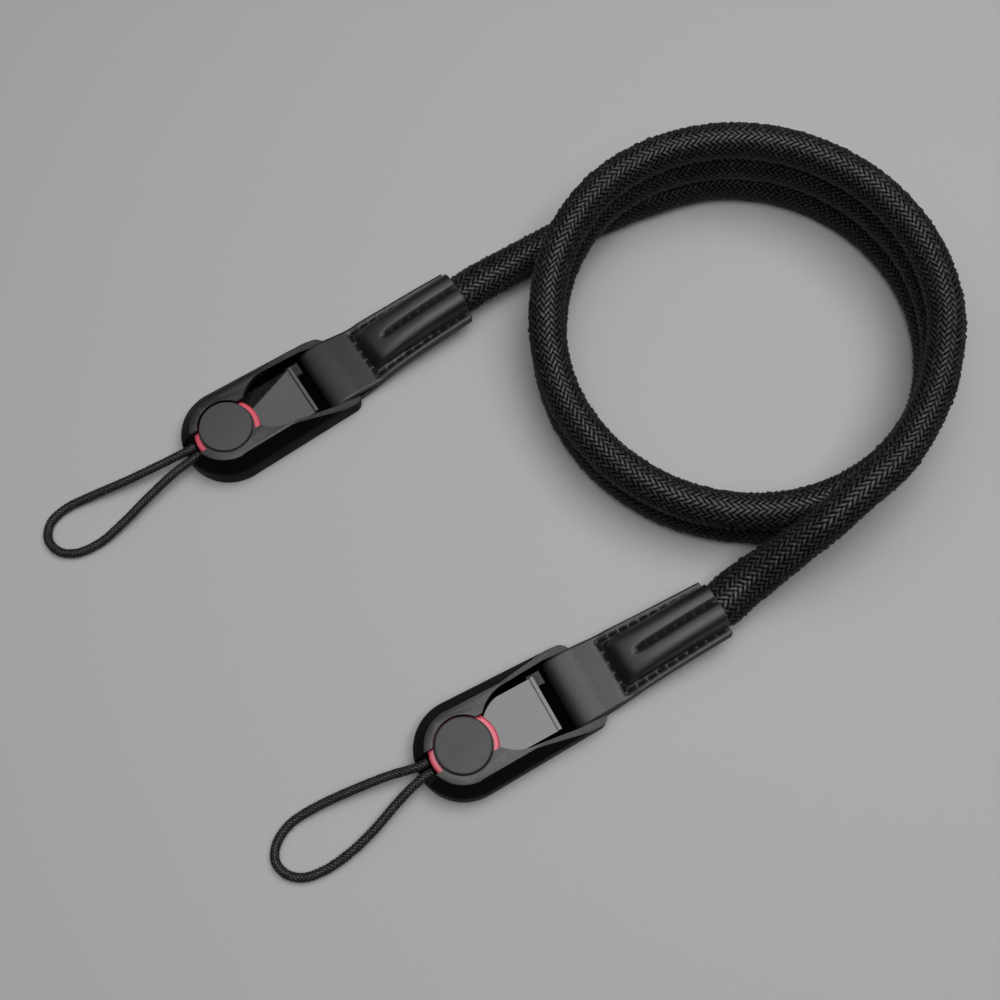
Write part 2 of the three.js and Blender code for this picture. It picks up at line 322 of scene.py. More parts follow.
def new_material(name: str, constants: dict) -> tuple[Material, NodeTable, bpy.types.Node]:
    """A material with one shader.

    Args:
        name: The material's name.
        constants: The shader's values that are the same all over.

    Returns:
        The material, its node table and its shader.
    """
    material = bpy.data.materials.new(name)
    material.use_nodes = True
    shader = material.node_tree.nodes["Principled BSDF"]
    for key, value in constants.items():
        shader.inputs[key].default_value = value
    return material, NodeTable(material.node_tree), shader


def connect(table: NodeTable, shader: bpy.types.Node, colour: Socket, roughness: Socket, height: Socket,
            depth: float) -> None:
    """Joins a surface's colour, roughness and relief to its shader.

    Args:
        table: The material's node table.
        shader: The material's shader.
        colour: The output that gives the colour.
        roughness: The output that gives the roughness.
        height: The output that gives the relief, from 0 to 1.
        depth: The relief's depth, in millimetres.
    """
    bump = table.add("ShaderNodeBump", {"Height": height, "Distance": depth * MM, "Strength": 1.0})
    table.tree.links.new(colour, shader.inputs["Base Color"])
    table.tree.links.new(roughness, shader.inputs["Roughness"])
    table.tree.links.new(bump.outputs["Normal"], shader.inputs["Normal"])


@dataclass(frozen=True)
class BraidFinish:
    """Spun black yarn: painted shade makes it dark between the strands; paler where a strand crowns."""

    name: str
    streak_and_valley_shade: Colour = (0.001, 0.001, 0.001)
    crown: Colour = (0.028, 0.028, 0.030)
    pale: Colour = (0.06, 0.06, 0.064)
    crown_span: Pair = (0.25, 0.75)
    roughness: Pair = (0.5, 0.7)
    gloss: float = 0.05
    shine: float = 0.9
    shine_in_streaks: float = 0.4
    shine_roughness: float = 0.36
    shine_index: float = 1.55
    streaks_along: float = 1.6
    streaks_across: float = 14.0
    streak_share: float = 0.45
    streak_depth: float = 0.12

    def material(self) -> Material:
        """The finish as a material.

        Returns:
            The new material.
        """
        material, table, shader = new_material(self.name, {
            "Specular IOR Level": self.gloss,
            "Coat Roughness": self.shine_roughness,
            "Coat IOR": self.shine_index,
        })
        lay = table.add("ShaderNodeUVMap", uv_map="strand").outputs["UV"]
        spacing = {"Along": self.streaks_along, "Across": self.streaks_across}
        fibres = place_effect(table, Effect.FIBRES, {"Vector": lay, **spacing})
        # Painted shade: below the crowns the colour sinks to the valley shade.
        crown = table.spread(table.attribute("crown"), self.crown_span)
        yarn = table.mix(table.attribute("tone"), self.crown, self.pale)
        streaks = table.spread(fibres["Mask"], (0, 1), (0, self.streak_share))
        streaked = table.mix(streaks, yarn, self.streak_and_valley_shade)
        colour = table.mix(crown, self.streak_and_valley_shade, streaked)
        roughness = table.spread(fibres["Mask"], (0, 1), self.roughness)
        connect(table, shader, colour, roughness, fibres["Height"], self.streak_depth)
        # The coat shine is also kept to the crowns, as painted shade in the valleys.
        shine = table.spread(fibres["Mask"], (0, 1), (self.shine, self.shine_in_streaks * self.shine))
        glint = table.math("MULTIPLY", crown, shine)
        table.tree.links.new(glint, shader.inputs["Coat Weight"])
        return material


@dataclass(frozen=True)
class LeatherFinish:
    """Black smooth leather with a fine grain, with painted shade darkening its sewn creases, and raw along
    its cut edges.
    """

    name: str
    colour: Colour = (0.005, 0.005, 0.0055)
    worn: Colour = (0.008, 0.008, 0.0085)
    crease_shade: Colour = (0.002, 0.002, 0.002)
    cut: Colour = (0.055, 0.053, 0.052)
    roughness: Pair = (0.42, 0.46)
    index: float = 1.62
    duller: float = 0.35
    pore_scale: float = 1500
    pore_span: Pair = (0.0, 0.7)
    pore_share: float = 0.6
    pore_depth: float = 0.02
    grain_scale: float = 3300
    grain_share: float = 0.4

    def material(self) -> Material:
        """The finish as a material.

        Returns:
            The new material.
        """
        material, table, shader = new_material(self.name, {"IOR": self.index})
        place = table.add("ShaderNodeTexCoord").outputs["Object"]
        grain = place_effect(table, Effect.GRAIN, {"Vector": place, "Scale": self.grain_scale})
        cells = table.add("ShaderNodeTexVoronoi", {"Vector": place, "Scale": self.pore_scale})
        pores = table.spread(cells.outputs["Distance"], self.pore_span)
        pitted = table.math("MULTIPLY", pores, self.pore_share)
        grained = table.math("MULTIPLY", grain["Height"], self.grain_share)
        height = table.math("ADD", pitted, grained)
        handled = table.mix(grain["Patches"], self.colour, self.worn)
        # Painted shade: darker and duller where the seams press the leather in.
        crease_shaded = table.mix(table.attribute("crease_shade"), handled, self.crease_shade)
        colour = table.mix(table.attribute("cut"), crease_shaded, self.cut)
        gloss = table.spread(grain["Patches"], (0, 1), self.roughness)
        dull = table.math("MAXIMUM", table.attribute("cut"), table.attribute("crease_shade"))
        roughness = table.math("ADD", gloss, table.math("MULTIPLY", dull, self.duller))
        connect(table, shader, colour, roughness, height, self.pore_depth)
        return material


@dataclass(frozen=True)
class ThreadFinish:
    """Twisted black sewing thread."""

    name: str
    colour: Colour = (0.002, 0.002, 0.002)
    pale: Colour = (0.012, 0.012, 0.013)
    roughness: Pair = (0.5, 0.75)
    gloss: float = 0.15
    twist_along: float = 9.0
    twist_across: float = 5.0
    twist_depth: float = 0.08

    def material(self) -> Material:
        """The finish as a material.

        Returns:
            The new material.
        """
        material, table, shader = new_material(self.name, {"Specular IOR Level": self.gloss})
        lay = table.add("ShaderNodeUVMap", uv_map="strand").outputs["UV"]
        spacing = {"Along": self.twist_along, "Across": self.twist_across}
        fibres = place_effect(table, Effect.FIBRES, {"Vector": lay, **spacing})
        colour = table.mix(fibres["Mask"], self.colour, self.pale)
        roughness = table.spread(fibres["Mask"], (0, 1), self.roughness)
        connect(table, shader, colour, roughness, fibres["Height"], self.twist_depth)
        return material


@dataclass(frozen=True)
class MouldedFinish:
    """Moulded plastic with a fine tooth, soft handling patches, and wear with a painted highlight along its
    edges.
    """

    name: str
    colour: Colour
    # The colour along outer edges: wear and a painted highlight.
    worn: Colour
    roughness: Pair
    tooth_scale: float = 5000
    tooth_depth: float = 0.012
    wear_and_highlight: float = 0.7
    index: float = 1.5
    specular: float = 0.5
    coat: float = 0.0
    coat_roughness: float = 0.2

    def material(self) -> Material:
        """The finish as a material.

        Returns:
            The new material.
        """
        material, table, shader = new_material(self.name, {
            "IOR": self.index,
            "Specular IOR Level": self.specular,
            "Coat Weight": self.coat,
            "Coat Roughness": self.coat_roughness,
        })
        place = table.add("ShaderNodeTexCoord").outputs["Object"]
        grain = place_effect(table, Effect.GRAIN, {"Vector": place, "Scale": self.tooth_scale})
        # Wear and painted highlight: outer edges take the lighter edge colour.
        wear_and_highlight = place_effect(table, Effect.WEAR_AND_HIGHLIGHT, {"Vector": place, "Amount": self.wear_and_highlight})
        colour = table.mix(wear_and_highlight["Mask"], self.colour, self.worn)
        roughness = table.spread(grain["Patches"], (0, 1), self.roughness)
        connect(table, shader, colour, roughness, grain["Height"], self.tooth_depth)
        return material


@dataclass(frozen=True)
class EndPose:
    """Where one end of the strap lies: its anchor's axis on the floor and the way its leather points."""

    name: str
    x: float
    y: float
    yaw: float

    def place(self, points: Array) -> Array:
        """Points of the clip's own frame, in the strap's frame.

        Args:
            points: The points, in the clip's frame.

        Returns:
            The same points, in the strap's frame.
        """
        points = np.asarray(points, float)
        turn = math.radians(self.yaw)
        x, y = points[..., 0], points[..., 1]
        left = self.x + x * math.cos(turn) - y * math.sin(turn)
        front = self.y + x * math.sin(turn) + y * math.cos(turn)
        return np.stack([left, front, points[..., 2]], axis=-1)


@dataclass
class Route:
    """A smooth curve through a cord's points."""

    knots: Array
    parts: int = 60
    line: Array = field(init=False)
    along: Array = field(init=False)

    def __post_init__(self) -> None:
        """Draws the curve as a fine line and measures it."""
        knots = np.asarray(self.knots, float)
        ends = np.vstack([2 * knots[0] - knots[1], knots, 2 * knots[-1] - knots[-2]])
        u = (np.arange(self.parts) / self.parts)[:, None]
        pieces = []
        for before, start, end, after in zip(ends, ends[1:], ends[2:], ends[3:]):
            near, span, far = (
                math.sqrt(np.linalg.norm(b - a)) for a, b in ((before, start), (start, end), (end, after))
            )
            leave = (start - before) / near - (end - before) / (near + span) + (end - start) / span
            enter = (end - start) / span - (after - start) / (span + far) + (after - end) / far
            first, second = leave * span, enter * span
            square = -3 * start + 3 * end - 2 * first - second
            cube = 2 * start - 2 * end + first + second
            pieces.append(start + first * u + square * u**2 + cube * u**3)
        self.line = np.vstack([*pieces, knots[-1:]])
        self.along = np.concatenate([[0], np.cumsum(np.linalg.norm(np.diff(self.line, axis=0), axis=1))])

    @property
    def length(self) -> float:
        """The curve's length."""
        return float(self.along[-1])

    def stations(self, start: float, end: float, count: int) -> tuple[Array, Array, Array]:
        """Evenly spaced places along the curve, each with two directions across it that don't twist.

        Args:
            start: The first place's distance along the curve.
            end: The last one's.
            count: How many places.

        Returns:
            The places, and the upper and the sideways direction at each.
        """
        at = np.linspace(start, end, count)
        centres = np.stack([np.interp(at, self.along, self.line[:, k]) for k in range(3)], axis=1)
        tangents = np.gradient(centres, axis=0)
        tangents /= np.linalg.norm(tangents, axis=1)[:, None]
        up = np.zeros_like(centres)
        last = np.array([0.0, 0.0, 1.0])
        for k, tangent in enumerate(tangents):
            last = last - tangent * np.dot(last, tangent)
            last /= np.linalg.norm(last)
            up[k] = last
        return centres, up, np.cross(tangents, up)


class Crossing(Enum):
    """How high each kind of place in a braid stands, as a share of its relief."""

    CENTRE = 0.94
    FLOAT = 1.0
    DIVE = 0.42
    BESIDE = 0.08
    CORNER = 0.0


@dataclass
class BraidedCord:
    """A cord braided two over two, each strand a row of raised floats.

    The surface is a net of half strand widths. Its rows run round the cord and its points stand half a step
    over from row to row, so each face lies along the strands.
    """

    name: str
    knots: Array
    diameter: float
    strands: int
    relief: float
    seed: int
    trim: float = 0.0
    lean: float = 38.0
    uneven: float = 0.3
    wander: float = 0.1
    smoothing: int = 9
    tone_spread: float = 0.12
    squeezed: float | None = None
    narrower: float = 0.12
    wider: float = 0.26
    flatter: float = 0.07
    # Where the squeezed shape sets in, where it is round again and where the tab lets go, from the mouth on.
    set_in: Pair = (-1.5, 2.5)
    round_again: Pair = (3.0, 40.0)
    let_go: Pair = (-3.0, 0.5)
    route: Route = field(init=False)

    def __post_init__(self) -> None:
        """Draws the cord's route."""
        self.route = Route(self.knots)

    @property
    def length(self) -> float:
        """The cord's length, in millimetres."""
        return self.route.length - 2 * self.trim

    def over(self, left: Array, right: Array) -> Array:
        """Whether the left-leaning strand lies on top where two strands cross."""
        return (left + right) % 4 < 2

    def net(self, rows: int) -> tuple[Array, Array]:
        """The strand places of each point, counted in half strands, for both leans.

        Args:
            rows: How many rows of points.

        Returns:
            The left-leaning and the right-leaning half-strand number of each point.
        """
        row = np.arange(rows)[:, None]
        column = 2 * np.arange(2 * self.strands)[None, :] + row % 2
        return (column + row) // 2, (column - row) // 2

    def heights(self, left: Array, right: Array) -> Array:
        """How high each point of the net stands, from 0 to 1.

        Args:
            left: The points' left-leaning half-strand numbers.
            right: Their right-leaning ones.

        Returns:
            The heights.
        """
        on_left, on_right = left % 2 == 1, right % 2 == 1
        here = self.over(left // 2, right // 2)
        before_right = self.over(left // 2, right // 2 - 1)
        before_left = self.over(left // 2 - 1, right // 2)
        along_left = here.astype(int) + before_right
        along_right = 2 - here.astype(int) - before_left
        by_count = np.array([Crossing.BESIDE.value, Crossing.DIVE.value, Crossing.FLOAT.value])
        height = np.full(left.shape, Crossing.CORNER.value)
        height = np.where(on_left & ~on_right, by_count[along_left], height)
        height = np.where(~on_left & on_right, by_count[along_right], height)
        return np.where(on_left & on_right, Crossing.CENTRE.value, height)

    def faces(self, rows: int) -> tuple[Array, list[list[int]]]:
        """The net's faces and those that close its two ends.

        Args:
            rows: How many rows of points.

        Returns:
            The net's four-sided faces, and the end faces, whose middle points follow the net's own.
        """
        around = 2 * self.strands
        row = np.arange(rows - 2)[:, None]
        k = np.arange(around)[None, :]
        right = (k + row % 2) % around
        left = (k - 1 + row % 2) % around
        middle = (row + 1) * around
        corners = [row * around + k, middle + right, middle + around + k, middle + left]
        net = np.stack(np.broadcast_arrays(*corners), axis=-1).reshape(-1, 4)
        first, last = rows * around, rows * around + 1
        ends = []
        top, odd = (rows - 1) * around, (rows - 1) % 2
        for n in range(around):
            beside = around + n
            ends += [[first, beside, n], [first, (n + 1) % around, beside]]
            right_one = top - around + (n + odd) % around
            left_one = top - around + (n - 1 + odd) % around
            ends += [[last, top + n, right_one], [last, left_one, top + n]]
        return net, ends

    def stretch(self, rows: int) -> tuple[Array, Array]:
        """How much higher and wider than round the cord is, where a tab squeezes its end.

        Args:
            rows: How many rows of points.

        Returns:
            The height's and the width's factor in each row.
        """
        if self.squeezed is None:
            return np.ones(rows), np.ones(rows)
        at = np.linspace(self.trim, self.route.length - self.trim, rows)
        outside = np.minimum(at, self.route.length - at) - self.squeezed
        share = smooth_rise(outside, *self.set_in) * (1 - smooth_rise(outside, *self.round_again))
        held = 1 - smooth_rise(outside, *self.let_go)
        return 1 - self.flatter * share, 1 + self.wider * share - self.narrower * held

    def strayed(self, left: Array, right: Array, chance: np.random.Generator) -> Array:
        """How far each point strays sideways with the strands it lies on.

        Args:
            left: The points' left-leaning half-strand numbers.
            right: Their right-leaning ones.
            chance: The source of the straying.

        Returns:
            The distances, in half strands.
        """
        rows = len(left)
        steps = chance.normal(0, self.wander, (2, rows + self.smoothing - 1, self.strands))
        slow = sum(steps[:, k:k + rows] for k in range(self.smoothing)) / math.sqrt(self.smoothing)
        row = np.arange(rows)[:, None]
        return slow[0][row, left // 2 % self.strands] + slow[1][row, right // 2 % self.strands]

    def build(self) -> Piece:
        """Builds the braided mesh.

        Returns:
            The cord's object.
        """
        around = math.pi * self.diameter / self.strands
        row_step = around / math.tan(math.radians(self.lean)) / 4
        rows = round(self.length / row_step) + 1
        centres, up, aside = self.route.stations(self.trim, self.route.length - self.trim, rows)
        left, right = self.net(rows)
        height = self.heights(left, right)
        chance = np.random.default_rng(self.seed)
        strand_tone = chance.random((2, self.strands))
        left_tone = strand_tone[0][left // 2 % self.strands]
        right_tone = strand_tone[1][right // 2 % self.strands]
        tone = np.where(self.over(left // 2, right // 2), left_tone, right_tone)
        tone = np.clip(tone + chance.normal(0, self.tone_spread, tone.shape), 0, 1)
        relief = height + self.uneven * height * (chance.random(height.shape) + tone - 1)
        radius = self.diameter / 2 - self.relief * (1 - relief)
        angle = math.pi * (left + right + 2 * self.strayed(left, right, chance)) / (2 * self.strands)
        tall, wide = self.stretch(rows)
        high, broad = tall[:, None] * np.cos(angle), wide[:, None] * np.sin(angle)
        ring = high[..., None] * up[:, None, :] + broad[..., None] * aside[:, None, :]
        points = (centres[:, None, :] + radius[..., None] * ring).reshape(-1, 3)
        net, ends = self.faces(rows)
        piece = mesh_object(self.name, np.vstack([points, centres[0], centres[-1]]), net.tolist() + ends)
        # Each point's height, which the yarn's material also uses to paint shade between the strands.
        point_values(piece, "crown", np.concatenate([height.ravel(), [0, 0]]))
        point_values(piece, "tone", np.concatenate([tone.ravel(), [0, 0]]))
        self.lay_fibres(piece, net, left.ravel(), right.ravel())
        return piece

    def lay_fibres(self, piece: Piece, net: Array, left: Array, right: Array) -> None:
        """Gives each face places along and across the strand on top, for the fibres.

        Args:
            piece: The cord's object.
            net: The net's faces.
            left: The points' left-leaning half-strand numbers.
            right: Their right-leaning ones.
        """
        low_left = left[net[:, 0]]
        low_right = right[net[:, 0]] - 1
        on_top = self.over(low_left // 2, low_right // 2)[:, None]
        half_left = low_left[:, None] + np.array([0, 1, 1, 0])
        half_right = low_right[:, None] + np.array([1, 1, 0, 0])
        along_left = np.stack([half_right, half_left], -1)
        along_right = np.stack([half_left, half_right], -1)
        lay = np.where(on_top[..., None], along_left, along_right)
        places = np.zeros((len(piece.data.loops), 2))
        places[: lay.shape[0] * 4] = lay.reshape(-1, 2) / 2
        piece.data.uv_layers.new(name="strand").data.foreach_set("uv", places.astype(np.float32).ravel())

    def centreline(self, count: int) -> list[list[float]]:
        """Places along the cord's middle, in metres."""
        centres, _, _ = self.route.stations(self.trim, self.route.length - self.trim, count)
        return (centres * MM).tolist()


@dataclass
class CoiledRope:
    """The strap's rope: out of one tab, two and a half turns down a coil, and into the other tab."""

    ends: dict[str, EndPose]
    diameter: float = 10.2
    over_crowns: float = 10.65
    in_tab: float = 64.0
    mouth: float = 77.4
    rest: float = 6.9
    trim: float = 6.5
    strands: int = 22
    relief: float = 0.95
    seed: int = 11
    x: float = 66.95
    y: float = 45.6
    radius: float = 55.8
    level: float = 10.6
    slip: float = 1.0
    points_per_turn: int = 16
    start: float = -22.0
    end: float = 838.0
    drop: Pair = (136.0, 214.0)
    lead_b: tuple[Point, ...] = (
        (63.9, -29.5, 8.2), (68.4, -26.4, 10.4), (72.6, -23.8, 13.2), (79.0, -19.8, 17.6),
        (85.6, -15.6, 22.2), (94.2, -8.4, 25.3), (106.0, 2.1, 26.3), (115.5, 17.3, 26.3),
    )
    lead_a: tuple[Point, ...] = (
        (27.75, 87.9, 5.1), (19.95, 83.6, 5.15), (10.95, 77.8, 5.4), (0.95, 71.2, 5.9), (-8.25, 65.0, 6.5),
    )

    def turns(self) -> Array:
        """The coil's points, from its top level down to the floor.

        Returns:
            The points, one in each row.
        """
        count = round((self.end - self.start) / 360 * self.points_per_turn)
        angle = np.linspace(self.start, self.end, count + 1)
        level = 2 - sum(smooth_rise(angle, self.drop[0] + turn, self.drop[1] + turn) for turn in (0, 360))
        x = self.x + self.slip * (2 - level) + self.radius * np.cos(np.radians(angle))
        y = self.y + self.radius * np.sin(np.radians(angle))
        return np.stack([x, y, self.diameter / 2 + level * self.level], axis=1)

    def knots(self) -> Array:
        """All the points that the rope's middle runs through.

        Returns:
            The points, from tab b to tab a.
        """
        halfway = (self.in_tab + self.mouth) / 2
        inside = np.array([[x, 0, self.rest] for x in (self.in_tab, halfway, self.mouth)])
        start = self.ends["b"].place(inside)
        end = self.ends["a"].place(inside)[::-1]
        return np.vstack([start, self.lead_b, self.turns(), self.lead_a, end])

    def build(self, finish: BraidFinish) -> Piece:
        """Args:
            finish: Its yarn.

        Returns:
            The rope's object.
        """
        cord = BraidedCord(
            "rope_braid", self.knots(), self.over_crowns, self.strands, self.relief, self.seed, self.trim,
            squeezed=self.mouth - self.in_tab,
        )
        piece = cord.build()
        piece.data.materials.append(finish.material())
        settle(piece, "rope_black", "rope")
        mouth = self.ends["b"].place(np.array([self.mouth, 0, self.rest])) * MM
        cord.length * MM
        cord.centreline(700)
        return piece


@dataclass
class CordLoop:
    """The thin braided loop that hangs from an anchor, out of the clip's nose and round on the floor."""

    pose: EndPose
    points: tuple[Point, ...]
    diameter: float = 2.6
    strands: int = 10
    relief: float = 0.3
    seed: int = 23

    def build(self, material: Material) -> Piece:
        """Args:
            material: Its yarn.

        Returns:
            The loop's object.
        """
        knots = self.pose.place(np.array(self.points))
        name = f"loop_braid_{self.pose.name}"
        cord = BraidedCord(name, knots, self.diameter, self.strands, self.relief, self.seed)
        piece = cord.build()
        piece.data.materials.append(material)
        settle(piece, "loop_cord", f"cord_loop_{self.pose.name}")
        cord.length * MM
        cord.centreline(160)
        return piece


class Face(Enum):
    """The two sides of a leather tab."""

    TOP = 1
    UNDER = -1


@dataclass(frozen=True)
class Seam:
    """A straight row of stitches on a tab, in the clip's frame."""

    start: Pair
    end: Pair
    pitch: float
    thread: float
    depth: float = 0.4
    reach: float = 0.6
    kept_up: float = 0.65
    hole: float = 0.35

    @property
    def span(self) -> float:
        """The row's length."""
        return math.dist(self.start, self.end)

    @property
    def count(self) -> int:
        """How many stitches it has."""
        return max(round(self.span / self.pitch), 1)

    def point(self, share: Array) -> tuple[Array, Array]:
        """The place at a share of the row's length.

        Args:
            share: The shares, from 0 to 1.

        Returns:
            The places along the tab and across it.
        """
        share = np.asarray(share, float)
        x = self.start[0] + (self.end[0] - self.start[0]) * share
        y = self.start[1] + (self.end[1] - self.start[1]) * share
        return x, y

    def pressed(self, x: Array, y: Array) -> Array:
        """How far the thread presses the leather in, which stays up between two stitches.

        Args:
            x: Places along the tab.
            y: Places across it.

        Returns:
            The depth at each place.
        """
        way = np.array([self.end[0] - self.start[0], self.end[1] - self.start[1]]) / self.span
        along = (x - self.start[0]) * way[0] + (y - self.start[1]) * way[1]
        aside = (y - self.start[1]) * way[0] - (x - self.start[0]) * way[1]
        past = np.maximum(np.maximum(-along, along - self.span), 0)
        step = self.span / self.count
        to_hole = along - step * np.round(np.clip(along, 0, self.span) / step)
        sunk = self.depth * hump(np.hypot(aside, past), self.reach)
        return sunk * (1 - self.kept_up * hump(to_hole, self.hole))


@dataclass
class LeatherTab:
    """A strip of leather folded round the clip's bar and sewn shut over the rope's end."""

    pose: EndPose
    roll: float
    thick: float = 1.4
    front: float = 28.75
    fold: float = 36.0
    cross: float = 45.2
    mouth: float = 77.4
    swell: float = 6.8
    swell_half: float = 6.5
    squareness: float = 4.0
    softness: float = 0.4
    round_end: float = 0.8
    centre_start: float = 52.5
    ridge_aside: float = 3.2
    ridge_reach: float = 1.8
    ridge_height: float = 0.2
    ridge_run: Pair = (-3.0, 5.0)
    groove_reach: float = 0.85
    groove_depth: float = 0.75
    groove_run: Pair = (-2.0, 3.0)
    edge_inset: float = 1.85
    seam_end: float = 0.9
    pitch: float = 3.1
    round_edge: float = 0.15
    round_inner: float = 0.06
    edge_width: float = 0.45
    edge_belly: float = 0.22
    rim_cut: float = 0.45
    rows: int = 150
    fold_rows: int = 20
    columns: int = 84
    thread: float = 0.75
    centre_thread: float = 1.0
    stitch_gap: float = 0.065
    stitch_rise: float = 0.62
    stitch_sink: float = 0.42
    stitch_arch: float = 0.6
    stitch_parts: int = 8
    stitch_sides: int = 8
    taper_span: Pair = (0.12, 0.88)
    taper_power: float = 0.4
    stray: float = 0.09
    seed: int = 7
    # Places along the tab, and there its half width, the height of its middle layer, half the thickness of
    # its layers and the share of the rope's swelling.
    at: tuple[float, ...] = (28.75, 32.4, 36.0, 40.0, 45.2, 46.5, 48.0, 50.0, 53.0, 58.0, 65.0, 77.4)
    half: tuple[float, ...] = (9.9, 10.0, 10.0, 9.9, 9.7, 9.6, 9.55, 9.4, 9.25, 9.0, 8.8, 8.5)
    middle: tuple[float, ...] = (3.2, 3.2, 3.2, 3.2, 3.5, 3.8, 4.25, 4.7, 5.15, 5.7, 6.35, 7.0)
    layers: tuple[float, ...] = (3.0, 3.0, 3.0, 2.45, 1.55, 1.5, 1.5, 1.5, 1.5, 1.5, 1.5, 1.5)
    bulge: tuple[float, ...] = (0.0, 0.0, 0.0, 0.0, 0.0, 0.31, 0.5, 0.585, 0.67, 0.775, 0.895, 1.02)

    def along(self, x: Array, values: tuple[float, ...]) -> Array:
        """A size that changes along the tab."""
        return eased(x, self.at, values)

    def seams(self) -> list[Seam]:
        """The rows of stitches: both long edges, the cross row and the middle.

        Returns:
            The rows.
        """
        wide = self.along(self.cross, self.half) - self.edge_inset
        narrow = self.along(self.mouth, self.half) - self.edge_inset
        last = self.mouth - self.seam_end
        return [
            Seam((self.cross, -wide), (last, -narrow), self.pitch, self.thread),
            Seam((self.cross, wide), (last, narrow), self.pitch, self.thread),
            Seam((self.cross, -wide), (self.cross, wide), self.pitch, self.thread),
            Seam((self.centre_start, 0), (last, 0), self.pitch, self.centre_thread),
        ]

    def plain_height(self, x: Array, y: Array) -> Array:
        """Half the tab's height over its middle layer, before it is sewn.

        Args:
            x: Places along the tab.
            y: Places across it.

        Returns:
            The height at each place.
        """
        aside = np.abs(y / self.swell_half)
        layers = self.along(x, self.layers)
        bulge = self.along(x - self.round_end * aside**2, self.bulge)
        rest = 1 - aside**self.squareness
        round_height = self.swell * np.maximum(rest, 0) ** (1 / self.squareness)
        blend = np.sqrt((round_height - layers) ** 2 + self.softness)
        return layers + bulge * ((round_height + layers + blend) / 2 - layers)

    def by_middle_seam(self, x: Array, run: Pair) -> Array:
        """A smooth step where the middle seam starts, between two distances from its start."""
        return smooth_rise(x, self.centre_start + run[0], self.centre_start + run[1])

    def sewn_height(self, x: Array, y: Array, face: Face) -> Array:
        """Half the tab's height with its seams pressed in.

        Args:
            x: Places along the tab.
            y: Places across it.
            face: The side of the tab.

        Returns:
            The height at each place.
        """
        height = self.plain_height(x, y)
        if face is Face.TOP:
            ridge = hump(np.abs(y) - self.ridge_aside, self.ridge_reach)
            height = height + self.ridge_height * ridge * self.by_middle_seam(x, self.ridge_run)
        return height - self.press(x, y)

    def press(self, x: Array, y: Array) -> Array:
        """How far all the seams together press the leather in.

        Args:
            x: Places along the tab.
            y: Places across it.

        Returns:
            The depth at each place.
        """
        sunk = sum(seam.pressed(x, y) for seam in self.seams())
        groove = hump(y, self.groove_reach) * self.by_middle_seam(x, self.groove_run)
        return sunk + self.groove_depth * groove

    def rolled(self, points: Array) -> Array:
        """Points with the tab's roll, which grows from the cross seam to the mouth.

        Args:
            points: The points before the roll, in the clip's frame.

        Returns:
            The rolled points.
        """
        x, y, z = points.T
        middle = self.along(x, self.middle)
        turn = math.radians(self.roll) * smooth_rise(x, self.cross, self.mouth)
        aside = y * np.cos(turn) + (z - middle) * np.sin(turn)
        return np.stack([x, aside, middle + (z - middle) * np.cos(turn) - y * np.sin(turn)], axis=1)

    def outside(self, sewn: bool) -> Array:
        """The strip's outer surface, from the mouth over the top, round the bar and back underneath.

        Args:
            sewn: Whether the seams are pressed in.

        Returns:
            A grid of points, in the clip's frame.
        """
        share = np.linspace(-1, 1, self.columns + 1)[None, :]
        run = np.linspace(self.mouth, self.fold, self.rows)[:, None]
        turn = np.linspace(0, math.pi, self.fold_rows + 2)[1:-1, None]
        sheets = []
        for face, x in ((Face.TOP, run), (Face.UNDER, run[::-1])):
            y = self.along(x, self.half) * share
            height = self.sewn_height(x, y, face) if sewn else self.plain_height(x, y)
            z = self.along(x, self.middle) + face.value * height
            sheets.append(np.stack(np.broadcast_arrays(x, y, z), axis=-1))
        x = self.fold - (self.fold - self.front) * np.sin(turn)
        y = self.along(x, self.half) * share
        z = self.middle[0] + self.layers[0] * np.cos(turn)
        sheets.insert(1, np.stack(np.broadcast_arrays(x, y, z), axis=-1))
        return np.vstack(sheets)

    def build_leather(self) -> Piece:
        """Builds the folded strip as a closed skin of its real thickness.

        Returns:
            The strip's object.
        """
        outer, plain = self.outside(True), self.outside(False)
        down, across = np.gradient(plain, axis=0), np.gradient(plain, axis=1)
        normal = np.cross(across, down)
        normal /= np.linalg.norm(normal, axis=-1, keepdims=True)
        inner = plain - self.thick * normal
        near_edge = np.abs(np.linspace(-1, 1, self.columns + 1)) * self.half[0]
        worn = smooth_rise(near_edge, self.half[0] - self.edge_width, self.half[0])[None, :, None]
        outer = outer - self.round_edge * worn * normal
        inner = inner + self.round_inner * worn * normal
        rows, columns = outer.shape[:2]
        number = np.arange(rows * columns).reshape(rows, columns)
        corners = [number[:-1, :-1], number[:-1, 1:], number[1:, 1:], number[1:, :-1]]
        quads = np.stack(corners, axis=-1).reshape(-1, 4)
        skins = np.vstack([quads[:, ::-1], quads + rows * columns])
        rim = np.concatenate([number[0, :], number[1:, -1], number[-1, -2::-1], number[-2:0:-1, 0]])
        flat_outer, flat_inner = outer.reshape(-1, 3), inner.reshape(-1, 3)
        out_of_edge = self.edge_ways(outer)[rim]
        middle = (flat_outer[rim] + flat_inner[rim]) / 2 + self.edge_belly * out_of_edge
        base = 2 * rows * columns
        loop = np.arange(len(rim))
        after = np.roll(loop, -1)
        edge_faces = np.vstack([
            np.stack([rim, rim[after], base + after, base + loop], axis=1),
            np.stack([base + loop, base + after, rim[after] + rows * columns, rim + rows * columns], axis=1),
        ])
        points = self.pose.place(self.rolled(np.vstack([flat_outer, flat_inner, middle])))
        faces = np.vstack([skins, edge_faces]).tolist()
        piece = mesh_object(f"leather_strip_{self.pose.name}", points, faces)
        self.mark(piece, plain, rim, rows, columns)
        return piece

